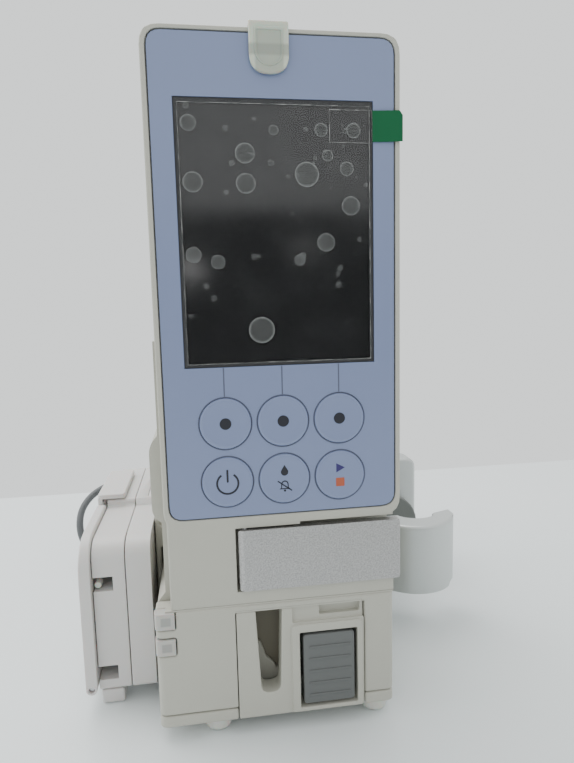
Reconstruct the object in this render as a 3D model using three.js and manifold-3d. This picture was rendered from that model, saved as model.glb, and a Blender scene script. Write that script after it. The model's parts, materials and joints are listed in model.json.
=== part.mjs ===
// Upright infusion pump with a pole clamp on its right flank and a clip-on line warmer on its left.
// Millimetres, +Z up, the front faces -Y. The pump is laid out about the middle of its display
// (x = 0), its front face (y = 0) and the table (z = 0), then moved so that the origin is the
// bottom centre of its box.
import * as THREE from "three";
import { mergeVertices } from "three/addons/utils/BufferGeometryUtils.js";
import Module from "manifold-3d";

const wasm = await Module();
wasm.setup();

// ---- driving dimensions -------------------------------------------------------------------------
const GAP = 0.3; // running gap between neighbouring pieces
const WALL = 2.4; // moulded wall

const PANEL = { width: 70, top: 211.1, bottom: 72.4, corner: 4.2, front: 0.1, back: 2.3 };
const RIM = { side: 1.95, top: 1.6, bottom: 3.1, corner: 5.6 };
const WINDOW = { width: 57.4, top: 194.0, bottom: 118.1 };
const KEY = { radius: 7.6, pitch: 17.4, upperZ: 101.2, lowerZ: 83.3, front: -0.25, travel: 0.6 };

const HEAD_DEPTH = 62; // front to back at the display
const BODY = { left: -38.2, right: 34.6, depth: 118, shoulder: 104, slopeTop: 126, bottom: 9.4 };
const BLOCK = { left: -41.2, top: 43.4, front: -0.6 }; // lower block, wider on the left
const RAIL = { left: -41.0, low: 69, high: 97, back: 100 };
const FRONT_DEPTH = 8; // front mouldings, front to back
const FOOT_HEIGHT = 5.3;

const LEVER = { left: -14.85, right: 36.6, low: 48.4, high: 67.9, front: -1.2, back: 1.6 };
const LEVER_AXIS = { x: -12.7, y: 1.4 };
const DOOR = { left: -16.4, right: 24.5, low: 5.6, high: 41.2, back: 6.4 };
const DOOR_AXIS = { y: 4.0, z: 12.0 };
const LATCH = { left: 4.5, right: 21.2, low: 8.3, high: 31.9, rib: 4.1 };
const SLOT = { topLeft: -10.4, topRight: -2.0, lowLeft: -9.0, lowRight: -3.0, low: 16.2 };

const ROTOR = { x: 4, z: 25, radius: 11, rollerAt: 8.2, rollerRadius: 2.6 };
const GEAR = { module: 0.6, rotorTeeth: 36, pinionTeeth: 14, front: 33, back: 37 };

const CLAMP = { x: 67, z: 26, bottom: 8.6, jawTop: 43.5, armTop: 56, right: 84 };
const JAW = { low: 14, x: 66, y: 67.5, radius: 18, front: 52.5, right: 83 }; // hooked jaw, bulging forwards
// Hollow that the pole lies in; leftEnd and rightEnd are how far its arc stops short of level.
const JAW_SEAT = { x: 67.5, y: 69.5, radius: 9, lip: 67.2, leftEnd: 0.4, rightEnd: 0.62 };
const ARM = { front: 110, back: 122 };
const PAD = { front: 100, back: 105.4, radius: 14 };
const SCREW_RADIUS = 4.8;
const KNOB = { front: 147, back: 170, radius: 19 };

const WARM = { cover: -67.1, outer: -63.1, seam: -52.2, inner: -43.8, front: 21.5, back: 112 };
const WARM_Z = { low: 5.9, top: 58.3, deck: 61.0 };
const COVER_AXIS = { x: -65.3, z: 7.8 };
const TUBE = { groove: 5.0, depth: 6.6, upperZ: 44.2, lowerZ: 12.2, turnY: 88 };

const LEAD_DIAMETER = 3.6;
const LEAD_EXIT = { x: -57, y: 126.2, z: 46 };
const LEAD_ROUTE = [
  [-57, 126.5, 46], [-56.4, 136, 46], [-56.6, 144, 44.8], [-59.6, 151, 43], [-65.4, 156.6, 41.2],
  [-73, 159.2, 39.4], [-81, 157.8, 37.2], [-87.6, 153, 33.8], [-91.4, 146.6, 28.8], [-92, 141, 22],
  [-90, 138.4, 14.4], [-85, 139, 7.4], [-77.6, 141, 3.2], [-69, 143.2, 2.1], [-60, 145.4, 2.1],
  [-50, 146.6, 2.1], [-40, 145, 2.1], [-31, 140.6, 2.1], [-22, 134, 2.1], [-13, 127.4, 2.1],
  [-4, 123.2, 2.1], [6, 121.9, 2.1], [15.6, 124, 2.1], [23.6, 129.8, 2.1], [28.4, 138, 2.1],
  [28.6, 148, 2.1], [25, 157, 2.1], [18, 163.6, 2.1], [9, 167, 2.1], [0, 167.6, 2.6],
  [-8, 167.2, 4.8], [-14.6, 165.8, 9.2], [-19.6, 162.4, 14.6], [-22.4, 157, 20], [-22.6, 149.6, 24.4],
  [-22, 141.1, 26],
];

// ---- colours ------------------------------------------------------------------------------------
function finish(color, roughness, metalness = 0) {
  return new THREE.MeshStandardMaterial({ color, roughness, metalness });
}
const BEIGE = finish(0xb4b3a6, 0.55);
const BLUE = finish(0x7a88a6, 0.45);
const WHITE = finish(0xe6e2df, 0.5);
const GREY = finish(0x7f8280, 0.6);
const DARK = finish(0x26282b, 0.4);
const SATIN = finish(0xb9b7ba, 0.42, 1);
const CAST = finish(0xa9aeb0, 0.5, 1);
const STEEL = finish(0x9a9c9f, 0.3, 1);
const LENS = finish(0xc4cbc2, 0.3);
const BOARD = finish(0x1f5a3c, 0.6);
const TAB = finish(0x107a48, 0.5);
const RUBBER = finish(0xd9dcd4, 0.7);
const BLACK = finish(0x1c1c1d, 0.7);
const COPPER = finish(0xc9a092, 0.45, 0.6);

// ---- solids -------------------------------------------------------------------------------------
function solid(geometry) {
  const bare = geometry.clone();
  bare.deleteAttribute("normal");
  bare.deleteAttribute("uv");
  const merged = mergeVertices(bare, 1e-4);
  const vertProperties = new Float32Array(merged.attributes.position.array);
  const triVerts = new Uint32Array(merged.index.array);
  return new wasm.Manifold(new wasm.Mesh({ numProp: 3, vertProperties, triVerts }));
}

function join(...parts) {
  return parts.reduce((whole, part) => whole.add(part));
}

function cut(whole, ...tools) {
  return tools.reduce((rest, tool) => rest.subtract(tool), whole);
}

function box(x0, x1, y0, y1, z0, z1) {
  const geometry = new THREE.BoxGeometry(x1 - x0, y1 - y0, z1 - z0);
  return solid(geometry.translate((x0 + x1) / 2, (y0 + y1) / 2, (z0 + z1) / 2));
}

// Outline with a corner radius for each point; r = 0 keeps the corner sharp.
function outline(points) {
  const shape = new THREE.Shape();
  const count = points.length;
  points.forEach(([x, y, r = 0], i) => {
    const [px, py] = points[(i + count - 1) % count];
    const [nx, ny] = points[(i + 1) % count];
    const before = new THREE.Vector2(px - x, py - y).setLength(r);
    const after = new THREE.Vector2(nx - x, ny - y).setLength(r);
    if (i === 0) shape.moveTo(x + before.x, y + before.y);
    else shape.lineTo(x + before.x, y + before.y);
    if (r > 0) shape.quadraticCurveTo(x, y, x + after.x, y + after.y);
  });
  return shape;
}

function rectangle(x0, x1, y0, y1, r = 0) {
  return outline([[x0, y0, r], [x1, y0, r], [x1, y1, r], [x0, y1, r]]);
}

function extrude(shape, depth, steps) {
  return new THREE.ExtrudeGeometry(shape, { depth, bevelEnabled: false, curveSegments: steps });
}

// Extrusions of an outline drawn in x-z, x-y or y-z, from one coordinate of the third axis to another.
function alongY(shape, y0, y1, steps = 5) {
  return solid(extrude(shape, y1 - y0, steps).rotateX(Math.PI / 2).translate(0, y1, 0));
}

function alongZ(shape, z0, z1, steps = 5) {
  return solid(extrude(shape, z1 - z0, steps).translate(0, 0, z0));
}

function alongX(shape, x0, x1, steps = 5) {
  const turn = new THREE.Matrix4().makeBasis(
    new THREE.Vector3(0, 1, 0), new THREE.Vector3(0, 0, 1), new THREE.Vector3(1, 0, 0));
  return solid(extrude(shape, x1 - x0, steps).applyMatrix4(turn).translate(x0, 0, 0));
}

function rodY(x, z, radius, y0, y1, sides = 20, endRadius = radius) {
  const rod = new THREE.CylinderGeometry(endRadius, radius, y1 - y0, sides);
  return solid(rod.translate(x, (y0 + y1) / 2, z));
}

function rodX(y, z, radius, x0, x1, sides = 16) {
  const rod = new THREE.CylinderGeometry(radius, radius, x1 - x0, sides);
  return solid(rod.rotateZ(-Math.PI / 2).translate((x0 + x1) / 2, y, z));
}

function rodZ(x, y, radius, z0, z1, sides = 16) {
  const rod = new THREE.CylinderGeometry(radius, radius, z1 - z0, sides);
  return solid(rod.rotateX(Math.PI / 2).translate(x, y, (z0 + z1) / 2));
}

// ---- the group and its nodes ----------------------------------------------------------------------
const pump = new THREE.Group();

function add(name, shape, material) {
  const { vertProperties, triVerts } = shape.getMesh();
  const geometry = new THREE.BufferGeometry();
  geometry.setAttribute("position", new THREE.BufferAttribute(vertProperties, 3));
  geometry.setIndex(new THREE.BufferAttribute(triVerts, 1));
  const mesh = new THREE.Mesh(geometry, material);
  mesh.name = name;
  pump.add(mesh);
  return mesh;
}

// ---- casing ---------------------------------------------------------------------------------------
const headSide = PANEL.width / 2 + RIM.side;
const headTop = PANEL.top + RIM.top;
const headBottom = PANEL.bottom - RIM.bottom;

function bodyProfile(inset) {
  const back = BODY.depth - inset;
  return outline([
    [FRONT_DEPTH + GAP, BODY.bottom - (inset > 0 ? 5 : 0)],
    [back, BODY.bottom - (inset > 0 ? 5 : 0)],
    [back, BODY.shoulder - 12 - inset, 5],
    [back - 26, BODY.shoulder + 6 - inset, 8],
    [HEAD_DEPTH - inset, BODY.slopeTop - inset, 4],
    [FRONT_DEPTH + GAP, BODY.slopeTop - inset],
  ]);
}

function bodyPlan(inset) {
  return outline([
    [BODY.left + inset, FRONT_DEPTH + GAP],
    [BODY.right - inset, FRONT_DEPTH + GAP],
    [BODY.right - inset, BODY.depth - inset, 9],
    [BODY.left + inset, BODY.depth - inset, 9],
  ]);
}

const INLET = { left: 3, right: 31, low: 13.5, high: 34.5 };
const SOCKET = { x: -22, z: 26, radius: 7.6 };
const BATTERY_DOOR = { left: -28, right: 24, low: 46, high: 84 };

function rearHousing() {
  const head = alongY(rectangle(-headSide + 0.5, headSide - 0.5, 66, headTop - 0.5, 7),
    FRONT_DEPTH + GAP, HEAD_DEPTH);
  const backEdges = alongX(outline([
    [0, 60], [HEAD_DEPTH, 60], [HEAD_DEPTH, headTop, 12], [0, headTop],
  ]), -50, 50);
  const backPlan = alongZ(outline([
    [-headSide, 0], [headSide, 0], [headSide, HEAD_DEPTH, 12], [-headSide, HEAD_DEPTH, 12],
  ]), 50, 220);
  const roundedHead = head.intersect(backEdges).intersect(backPlan);
  const lower = alongX(bodyProfile(0), BODY.left, BODY.right)
    .intersect(alongZ(bodyPlan(0), 0, 130));
  const shelf = alongY(outline([
    [BLOCK.left, BODY.bottom], [BODY.left + 1, BODY.bottom], [BODY.left + 1, BLOCK.top + 3.4],
    [BODY.left, BLOCK.top + 2.6, 0.6], [BLOCK.left, BLOCK.top - 1, 2],
  ]), FRONT_DEPTH + GAP, BODY.depth - 9);
  const rail = alongY(outline([
    [BODY.left + 1, RAIL.low], [BODY.left + 1, RAIL.high], [BODY.left, RAIL.high],
    [RAIL.left, RAIL.high - 3, 3], [RAIL.left, RAIL.low + 2, 3], [BODY.left, RAIL.low],
  ]), FRONT_DEPTH + GAP, RAIL.back);
  const headHollow = box(-headSide + 0.5 + WALL, headSide - 0.5 - WALL,
    FRONT_DEPTH, HEAD_DEPTH - WALL, 72, headTop - 0.5 - WALL)
    .intersect(alongX(outline([
      [0, 60], [HEAD_DEPTH - WALL, 60], [HEAD_DEPTH - WALL, headTop - WALL, 10], [0, headTop - WALL],
    ]), -50, 50))
    .intersect(alongZ(outline([
      [-headSide, 0], [headSide, 0], [headSide - WALL, HEAD_DEPTH - WALL, 10],
      [-headSide + WALL, HEAD_DEPTH - WALL, 10],
    ]), 50, 220));
  const bodyHollow = alongX(bodyProfile(WALL), BODY.left + WALL, BODY.right - WALL)
    .intersect(alongZ(bodyPlan(WALL), 0, 130));
  const mouth = box(BODY.left + WALL, BODY.right - WALL, FRONT_DEPTH, 14, 5, 120);
  return cut(join(roundedHead, lower, shelf, rail), headHollow, bodyHollow, mouth,
    box(INLET.left - GAP, INLET.right + GAP, 100, 130, INLET.low - GAP, INLET.high + GAP),
    rodY(SOCKET.x, SOCKET.z, SOCKET.radius + GAP, 100, 130),
    box(BATTERY_DOOR.left, BATTERY_DOOR.right, 100, 130, BATTERY_DOOR.low, BATTERY_DOOR.high));
}

function frontFrame() {
  const side = headSide;
  const whole = join(
    alongY(rectangle(-side, side, headBottom, headTop, RIM.corner), 0, FRONT_DEPTH),
    box(BODY.left + 2, BODY.right, 0, FRONT_DEPTH, BLOCK.top + GAP, headBottom + 8));
  const leverBay = { left: LEVER.left - 0.85, low: LEVER.low - 0.6, high: LEVER.high + 0.5 };
  return cut(whole,
    alongY(rectangle(-PANEL.width / 2 - 0.45, PANEL.width / 2 + 0.45, PANEL.bottom - 0.45,
      PANEL.top + 0.45, PANEL.corner + 0.4), -1, PANEL.back + GAP),
    box(-31.2, 31.2, -1, FRONT_DEPTH + 1, 74.8, 198),
    box(leverBay.left, 50, -1, 6.6, leverBay.low, leverBay.high),
    box(4.5, 50, -1, 6.6, leverBay.high - 1, headBottom - 0.1),
    rodZ(LEVER_AXIS.x, LEVER_AXIS.y, 1.15, LEVER.low - 3.6, LEVER.high + 3.4));
}

function keypadPanel() {
  const { width, top, bottom, corner, front, back } = PANEL;
  const holes = keyCentres().map(([x, z]) => rodY(x, z, KEY.radius + GAP, front - 1, back + 1, 32));
  return cut(alongY(rectangle(-width / 2, width / 2, bottom, top, corner), front, back),
    box(-WINDOW.width / 2, WINDOW.width / 2, front - 1, back + 1, WINDOW.bottom, WINDOW.top),
    ...holes);
}

function keyCentres() {
  return [KEY.upperZ, KEY.lowerZ].flatMap((z) => [-1, 0, 1].map((side) => [side * KEY.pitch, z]));
}

function addKeys() {
  const names = ["key_soft_left", "key_soft_middle", "key_soft_right", "key_power", "key_purge", "key_start"];
  keyCentres().forEach(([x, z], i) => {
    const cap = rodY(x, z, KEY.radius, KEY.front, PANEL.back + 0.4, 32);
    const plunger = rodY(x, z, 3, PANEL.back, 5.2, 12);
    add(names[i], join(cap, plunger), BLUE);
  });
}

function alarmLens() {
  const left = -7.1;
  const right = 4.2;
  const low = 200.1;
  const tongue = alongY(outline([
    [left, headTop + 1.3], [left, low, 5.4], [right, low, 5.4], [right, headTop + 1.3],
  ]), -1.5, -GAP / 2, 8);
  return join(tongue, box(left, right, -1.5, 12, headTop + 0.2, headTop + 1.3));
}

add("rear_housing", rearHousing(), BEIGE);
add("front_frame", frontFrame(), BEIGE);
add("keypad_panel", keypadPanel(), BLUE);
addKeys();
add("keypad_mat", box(-26, 26, 5.9, 7, 76.6, 109), RUBBER);
const halfWindow = WINDOW.width / 2;
add("screen_window", box(-halfWindow + GAP, halfWindow - GAP, 0.5, 2.3, WINDOW.bottom + GAP,
  WINDOW.top - GAP), DARK);
add("lcd_module", box(-30.6, 30.6, 2.7, 7.6, 116, 197.4), DARK);
add("screen_film", box(-halfWindow + 0.6, halfWindow - 0.6, 0.1, 0.3, WINDOW.bottom + 0.6,
  WINDOW.top - 0.6), LENS);
add("film_pull_tab", box(28.4, 37.4, -0.45, -0.15, 182.4, 191.2), TAB);
add("alarm_lens", alarmLens(), LENS);
add("display_board", box(-32, 32, 10, 11.6, 76, 204), BOARD);
add("alarm_speaker", rodY(0, 186, 13, 50, 58.6, 24), DARK);
add("main_board", box(-33, 29, 40, 98, 90, 91.6), BOARD);
add("battery_pack", box(-27, 23, 76, 114, 47, 83), GREY);
add("battery_door", box(BATTERY_DOOR.left + GAP, BATTERY_DOOR.right - GAP, 116, 118.2,
  BATTERY_DOOR.low + GAP, BATTERY_DOOR.high - GAP), BEIGE);

// ---- lower block ----------------------------------------------------------------------------------
const LENS_BOX = { right: -35.2, back: 3, height: 5.3, upper: 38.0, lower: 29.5 };

function blockPlan(y1, r) {
  return outline([
    [BLOCK.left, BLOCK.front, 2.4], [BODY.right, BLOCK.front, 2.4], [BODY.right, y1, r], [BLOCK.left, y1, r],
  ]);
}

function lowerFrontCover() {
  const whole = alongZ(blockPlan(FRONT_DEPTH, 0), BODY.bottom, BLOCK.top);
  const lens = (low) => box(-50, LENS_BOX.right + GAP, -5, LENS_BOX.back + GAP, low - GAP,
    low + LENS_BOX.height + GAP);
  return cut(whole,
    box(DOOR.left - GAP, DOOR.right + GAP, -5, FRONT_DEPTH + 1, 5, DOOR.high + GAP),
    lens(LENS_BOX.upper), lens(LENS_BOX.lower),
    rodX(DOOR_AXIS.y, DOOR_AXIS.z, 1.5, DOOR.left - 4, DOOR.right + 4));
}

function statusLens(low) {
  return alongZ(outline([
    [BLOCK.left - 0.25, BLOCK.front - 0.2, 2], [LENS_BOX.right, BLOCK.front - 0.2],
    [LENS_BOX.right, LENS_BOX.back], [BLOCK.left - 0.25, LENS_BOX.back],
  ]), low, low + LENS_BOX.height);
}

function baseTray() {
  return cut(alongZ(blockPlan(BODY.depth, 8), FOOT_HEIGHT, BODY.bottom - GAP),
    box(DOOR.left - GAP, DOOR.right + GAP, -5, 13.4, 0, 20));
}

function foot(x, y) {
  const reach = 4.8;
  const profile = new THREE.Path();
  profile.moveTo(0, 0);
  profile.lineTo(1.6, 0);
  profile.quadraticCurveTo(reach, 0.6, reach, FOOT_HEIGHT - 0.2);
  profile.lineTo(0, FOOT_HEIGHT - 0.2);
  const turned = new THREE.LatheGeometry(profile.getPoints(5), 16);
  return solid(turned.rotateX(Math.PI / 2).translate(x, y, 0));
}

function doorPanel() {
  const frame = { left: 0.85, right: 23.9, high: 35.6 };
  const opening = { left: 3.4, right: 22.2, low: 7.2, high: 32.9 };
  const plate = box(DOOR.left, DOOR.right, BLOCK.front, DOOR.back, DOOR.low, DOOR.high);
  const raised = alongY(outline([
    [frame.left, DOOR.low + 0.3], [frame.right, DOOR.low + 0.3], [frame.right, frame.high, 1.6],
    [frame.left, frame.high, 1.6],
  ]), -1.4, 3);
  const slot = alongY(outline([
    [SLOT.topLeft, DOOR.high + 1], [SLOT.lowLeft, SLOT.low - 2.8, 2.6],
    [SLOT.lowRight, SLOT.low - 2.8, 2.6], [SLOT.topRight, DOOR.high + 1],
  ]), -5, 10);
  const fingerHollow = box(frame.left + 0.5, DOOR.right + 1, -5, 0.5, frame.high + 0.5, DOOR.high + 1);
  const deepHollow = box(10.2, frame.right - 0.6, -5, 2.4, frame.high + 2, DOOR.high + 1);
  const pivots = rodX(DOOR_AXIS.y, DOOR_AXIS.z, 1.2, DOOR.left - 3.4, DOOR.left + 2);
  const farPivot = rodX(DOOR_AXIS.y, DOOR_AXIS.z, 1.2, DOOR.right - 2, DOOR.right + 3.4);
  const body = cut(join(plate, raised), slot, fingerHollow, deepHollow,
    box(opening.left, opening.right, -5, 10, opening.low, opening.high));
  return join(body, pivots, farPivot);
}

function latchButton() {
  const face = -1.1;
  const block = alongY(rectangle(LATCH.left, LATCH.right, LATCH.low, LATCH.high, 1), face, 4.6);
  const ribs = [0, 1, 2, 3, 4].map((i) => {
    const z = LATCH.low + 3 + i * LATCH.rib;
    return box(LATCH.left + 2.2, LATCH.right - 1.3, face - 0.35, face + 0.5, z - 0.3, z + 0.3);
  });
  return join(block, ...ribs);
}

function leverPlate() {
  const { left, right, low, high, front, back } = LEVER;
  const plate = alongY(rectangle(left, right, low, high, 0.9), front, back);
  const knuckle = rodZ(LEVER_AXIS.x, LEVER_AXIS.y, 2, low + 0.4, high - 0.4, 20);
  const catchHook = join(box(27, 30, back - 0.5, 5.2, 55, 61), box(25.4, 30, 4.2, 5.2, 55, 61));
  const bore = rodZ(LEVER_AXIS.x, LEVER_AXIS.y, 1.15, low - 1, high + 1);
  const roundedEnd = box(left - 1, left + 2, -5, 5, low - 1, high + 1)
    .subtract(rodZ(LEVER_AXIS.x, LEVER_AXIS.y, 2.65, low - 1, high + 1, 24));
  return cut(join(plate, knuckle, catchHook), bore, roundedEnd);
}

add("lower_front_cover", lowerFrontCover(), BEIGE);
add("status_lens_upper", statusLens(LENS_BOX.upper), LENS);
add("status_lens_lower", statusLens(LENS_BOX.lower), LENS);
add("base_tray", baseTray(), BEIGE);
const FEET = [[-23, 5.6], [29.4, 5.6], [-30, 106], [24, 106]];
FEET.forEach(([x, y], i) => add(`foot_${i + 1}`, foot(x, y), RUBBER));
add("door_panel", doorPanel(), BEIGE);
add("door_latch_button", latchButton(), GREY);
add("lever_plate", leverPlate(), SATIN);
add("lever_pin", rodZ(LEVER_AXIS.x, LEVER_AXIS.y, 1, LEVER.low - 3.4, LEVER.high + 3.2), STEEL);

// ---- pumping mechanism ----------------------------------------------------------------------------
// Involute gear outline about the origin: a tooth is centred on +x when phase is 0.
function gearOutline(teeth, phase) {
  const pitch = (GEAR.module * teeth) / 2;
  const base = pitch * Math.cos((20 * Math.PI) / 180);
  const tip = pitch + GEAR.module * 0.8;
  const root = pitch - GEAR.module * 1.15;
  const roll = (r) => {
    const t = Math.sqrt(Math.max((r / base) ** 2 - 1, 0));
    return t - Math.atan(t);
  };
  const slack = 0.1 / pitch;
  const half = Math.PI / (2 * teeth) - slack + roll(pitch);
  const shape = new THREE.Shape();
  for (let i = 0; i < teeth; i += 1) {
    const mid = phase + (i * 2 * Math.PI) / teeth;
    const start = Math.max(base, root);
    const radii = [start, (start + tip) / 2, tip];
    const flank = radii.map((r) => [r, half - roll(r)]);
    const side = [[root, half], ...flank];
    const points = [...side.map(([r, a]) => [r, mid - a]), ...side.reverse().map(([r, a]) => [r, mid + a])];
    points.forEach(([r, a]) => {
      const [x, y] = [r * Math.cos(a), r * Math.sin(a)];
      if (shape.curves.length === 0 && shape.currentPoint.lengthSq() === 0) shape.moveTo(x, y);
      else shape.lineTo(x, y);
    });
  }
  return shape;
}

const gearDistance = (GEAR.module * (GEAR.rotorTeeth + GEAR.pinionTeeth)) / 2;
const MOTOR_X = ROTOR.x + gearDistance;

function pumpRotor() {
  const plates = [[14, 16], [26, 28]].map(([y0, y1]) => rodY(ROTOR.x, ROTOR.z, ROTOR.radius, y0, y1, 24));
  const hub = rodY(ROTOR.x, ROTOR.z, 4.4, 14, 31, 16);
  const shaft = rodY(ROTOR.x, ROTOR.z, 2.4, 30, 39, 12);
  const gear = alongY(gearOutline(GEAR.rotorTeeth, 0), GEAR.front, GEAR.back)
    .translate([ROTOR.x, 0, ROTOR.z]);
  const pins = [0, 1, 2].map(rollerCentre).map(([x, z]) => rodY(x, z, 0.9, 14.5, 27.5, 10));
  return join(...plates, hub, shaft, gear, ...pins);
}

function rollerCentre(i) {
  const angle = (i * 2 * Math.PI) / 3 + Math.PI / 2;
  return [ROTOR.x + ROTOR.rollerAt * Math.cos(angle), ROTOR.z + ROTOR.rollerAt * Math.sin(angle)];
}

function pumpChassis() {
  const bed = box(-15.6, 23.8, 13.6, 31.6, 10, 40.6);
  const bowl = rodY(ROTOR.x, ROTOR.z, 13.4, 12, 28.8, 28);
  const tubeWay = box(-9.6, -3, 12, 25, 9, 42);
  return cut(bed, bowl, tubeWay, rodY(ROTOR.x, ROTOR.z, 5, 20, 40, 16));
}

function pumpMotor() {
  const body = rodY(MOTOR_X, ROTOR.z, 12, 40, 72, 24);
  const shaft = rodY(MOTOR_X, ROTOR.z, 1.5, 38.4, 41, 12);
  return join(body, shaft);
}

add("pump_chassis", pumpChassis(), GREY);
add("pump_rotor", pumpRotor(), WHITE);
for (let i = 0; i < 3; i += 1) {
  const [x, z] = rollerCentre(i);
  const roller = rodY(x, z, ROTOR.rollerRadius, 16.3, 25.7, 16);
  add(`pump_roller_${i + 1}`, cut(roller, rodY(x, z, 1.15, 16, 26, 10)), STEEL);
}
add("pump_motor", pumpMotor(), STEEL);
add("motor_pinion", alongY(gearOutline(GEAR.pinionTeeth, Math.PI / GEAR.pinionTeeth + Math.PI),
  GEAR.front, GEAR.back).translate([MOTOR_X, 0, ROTOR.z]), STEEL);

// ---- rear sockets and pole clamp --------------------------------------------------------------------
function powerInlet() {
  const shell = box(INLET.left, INLET.right, 102, BODY.depth + 0.6, INLET.low, INLET.high);
  const hollow = box(INLET.left + 2, INLET.right - 2, 105, 130, INLET.low + 2, INLET.high - 2);
  const middle = (INLET.left + INLET.right) / 2;
  const centre = (INLET.low + INLET.high) / 2;
  const blades = [[-7, -2], [7, -2], [0, 3]].map(([dx, dz]) =>
    box(middle + dx - 1, middle + dx + 1, 104, 114, centre + dz - 2, centre + dz + 2));
  return join(cut(shell, hollow), ...blades);
}

function accessorySocket() {
  const ring = rodY(SOCKET.x, SOCKET.z, SOCKET.radius, 106, BODY.depth + 0.8, 24);
  return cut(ring, rodY(SOCKET.x, SOCKET.z, 5, 110, 130, 24));
}

// Jaw in plan: a bar from the web that ends in a round hook, hollowed behind to seat the pole.
function jawPlan() {
  const rise = Math.asin((JAW.y - JAW.front) / JAW.radius);
  const lipAngle = Math.acos((JAW.right - JAW.x) / JAW.radius);
  const seat = JAW_SEAT;
  const shape = new THREE.Shape();
  shape.moveTo(BODY.right + 1, JAW.front);
  shape.absarc(JAW.x, JAW.y, JAW.radius, Math.PI + rise, 2 * Math.PI - lipAngle, false);
  shape.lineTo(JAW.right, seat.lip);
  shape.absarc(seat.x, seat.y, seat.radius, -seat.rightEnd, -Math.PI + seat.leftEnd, true);
  shape.lineTo(BODY.right + 1, 66);
  return shape;
}

function clampBracket() {
  const jaw = alongZ(jawPlan(), JAW.low, CLAMP.jawTop, 14);
  const jawFace = alongY(outline([
    [30, JAW.low], [JAW.right + 1.6, JAW.low, 9], [JAW.right + 1.6, CLAMP.jawTop, 1.5], [30, CLAMP.jawTop],
  ]), 40, 100);
  const arm = alongY(outline([
    [BODY.right + 0.4, CLAMP.bottom], [CLAMP.right, CLAMP.bottom, 12], [CLAMP.right, CLAMP.armTop, 5],
    [BODY.right + 0.4, CLAMP.armTop],
  ]), ARM.front, ARM.back);
  const web = alongX(outline([
    [52, CLAMP.bottom], [ARM.back, CLAMP.bottom], [ARM.back, CLAMP.armTop], [96, CLAMP.armTop, 10],
    [76, CLAMP.jawTop, 8], [52, CLAMP.jawTop],
  ]), BODY.right + 0.4, 45);
  const bore = rodY(CLAMP.x, CLAMP.z, SCREW_RADIUS + 0.25, 100, 130, 28);
  return cut(join(jaw.intersect(jawFace), arm, web), bore);
}

function clampLiner() {
  const { x, y, radius, leftEnd, rightEnd } = JAW_SEAT;
  const [start, end] = [-Math.PI + leftEnd + 0.1, -rightEnd - 0.1];
  const shape = new THREE.Shape();
  shape.absarc(x, y, radius - GAP, start, end, false);
  shape.absarc(x, y, radius - GAP - 1.4, end, start, true);
  return alongZ(shape, JAW.low + 3, CLAMP.jawTop - 3, 14);
}

function clampPad() {
  return rodY(CLAMP.x, CLAMP.z, PAD.radius, PAD.front, PAD.back, 28);
}

function clampScrew() {
  return join(rodY(CLAMP.x, CLAMP.z, SCREW_RADIUS, PAD.back + GAP, KNOB.front - GAP, 28),
    rodY(CLAMP.x, CLAMP.z, 3.4, KNOB.front - 1, KNOB.back - 8, 16));
}

function clampKnob() {
  const lobes = 6;
  const grip = new THREE.Shape();
  const steps = 48;
  for (let i = 0; i <= steps; i += 1) {
    const a = (i / steps) * 2 * Math.PI;
    const r = KNOB.radius - 2.2 + 2.2 * Math.cos(lobes * a);
    if (i === 0) grip.moveTo(r, 0);
    else if (i < steps) grip.lineTo(r * Math.cos(a), r * Math.sin(a));
  }
  const star = alongY(grip, KNOB.front + 6, KNOB.back).translate([CLAMP.x, 0, CLAMP.z]);
  const neck = rodY(CLAMP.x, CLAMP.z, 9, KNOB.front, KNOB.front + 7, 24);
  return cut(join(star, neck), rodY(CLAMP.x, CLAMP.z, 3.7, KNOB.front - 2, KNOB.back - 7.6, 16));
}

add("power_inlet", powerInlet(), BLACK);
add("accessory_socket", accessorySocket(), STEEL);
add("clamp_bracket", clampBracket(), CAST);
add("clamp_liner", clampLiner(), GREY);
add("clamp_pad", clampPad(), GREY);
add("clamp_screw", clampScrew(), STEEL);
add("clamp_knob", clampKnob(), BLACK);

// ---- line warmer ------------------------------------------------------------------------------------
function warmerProfile(front, low, top, frontRound, back) {
  return outline([
    [front, low, 1.5], [back, low, 3], [back, top, 6], [front, top, frontRound],
  ]);
}

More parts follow.
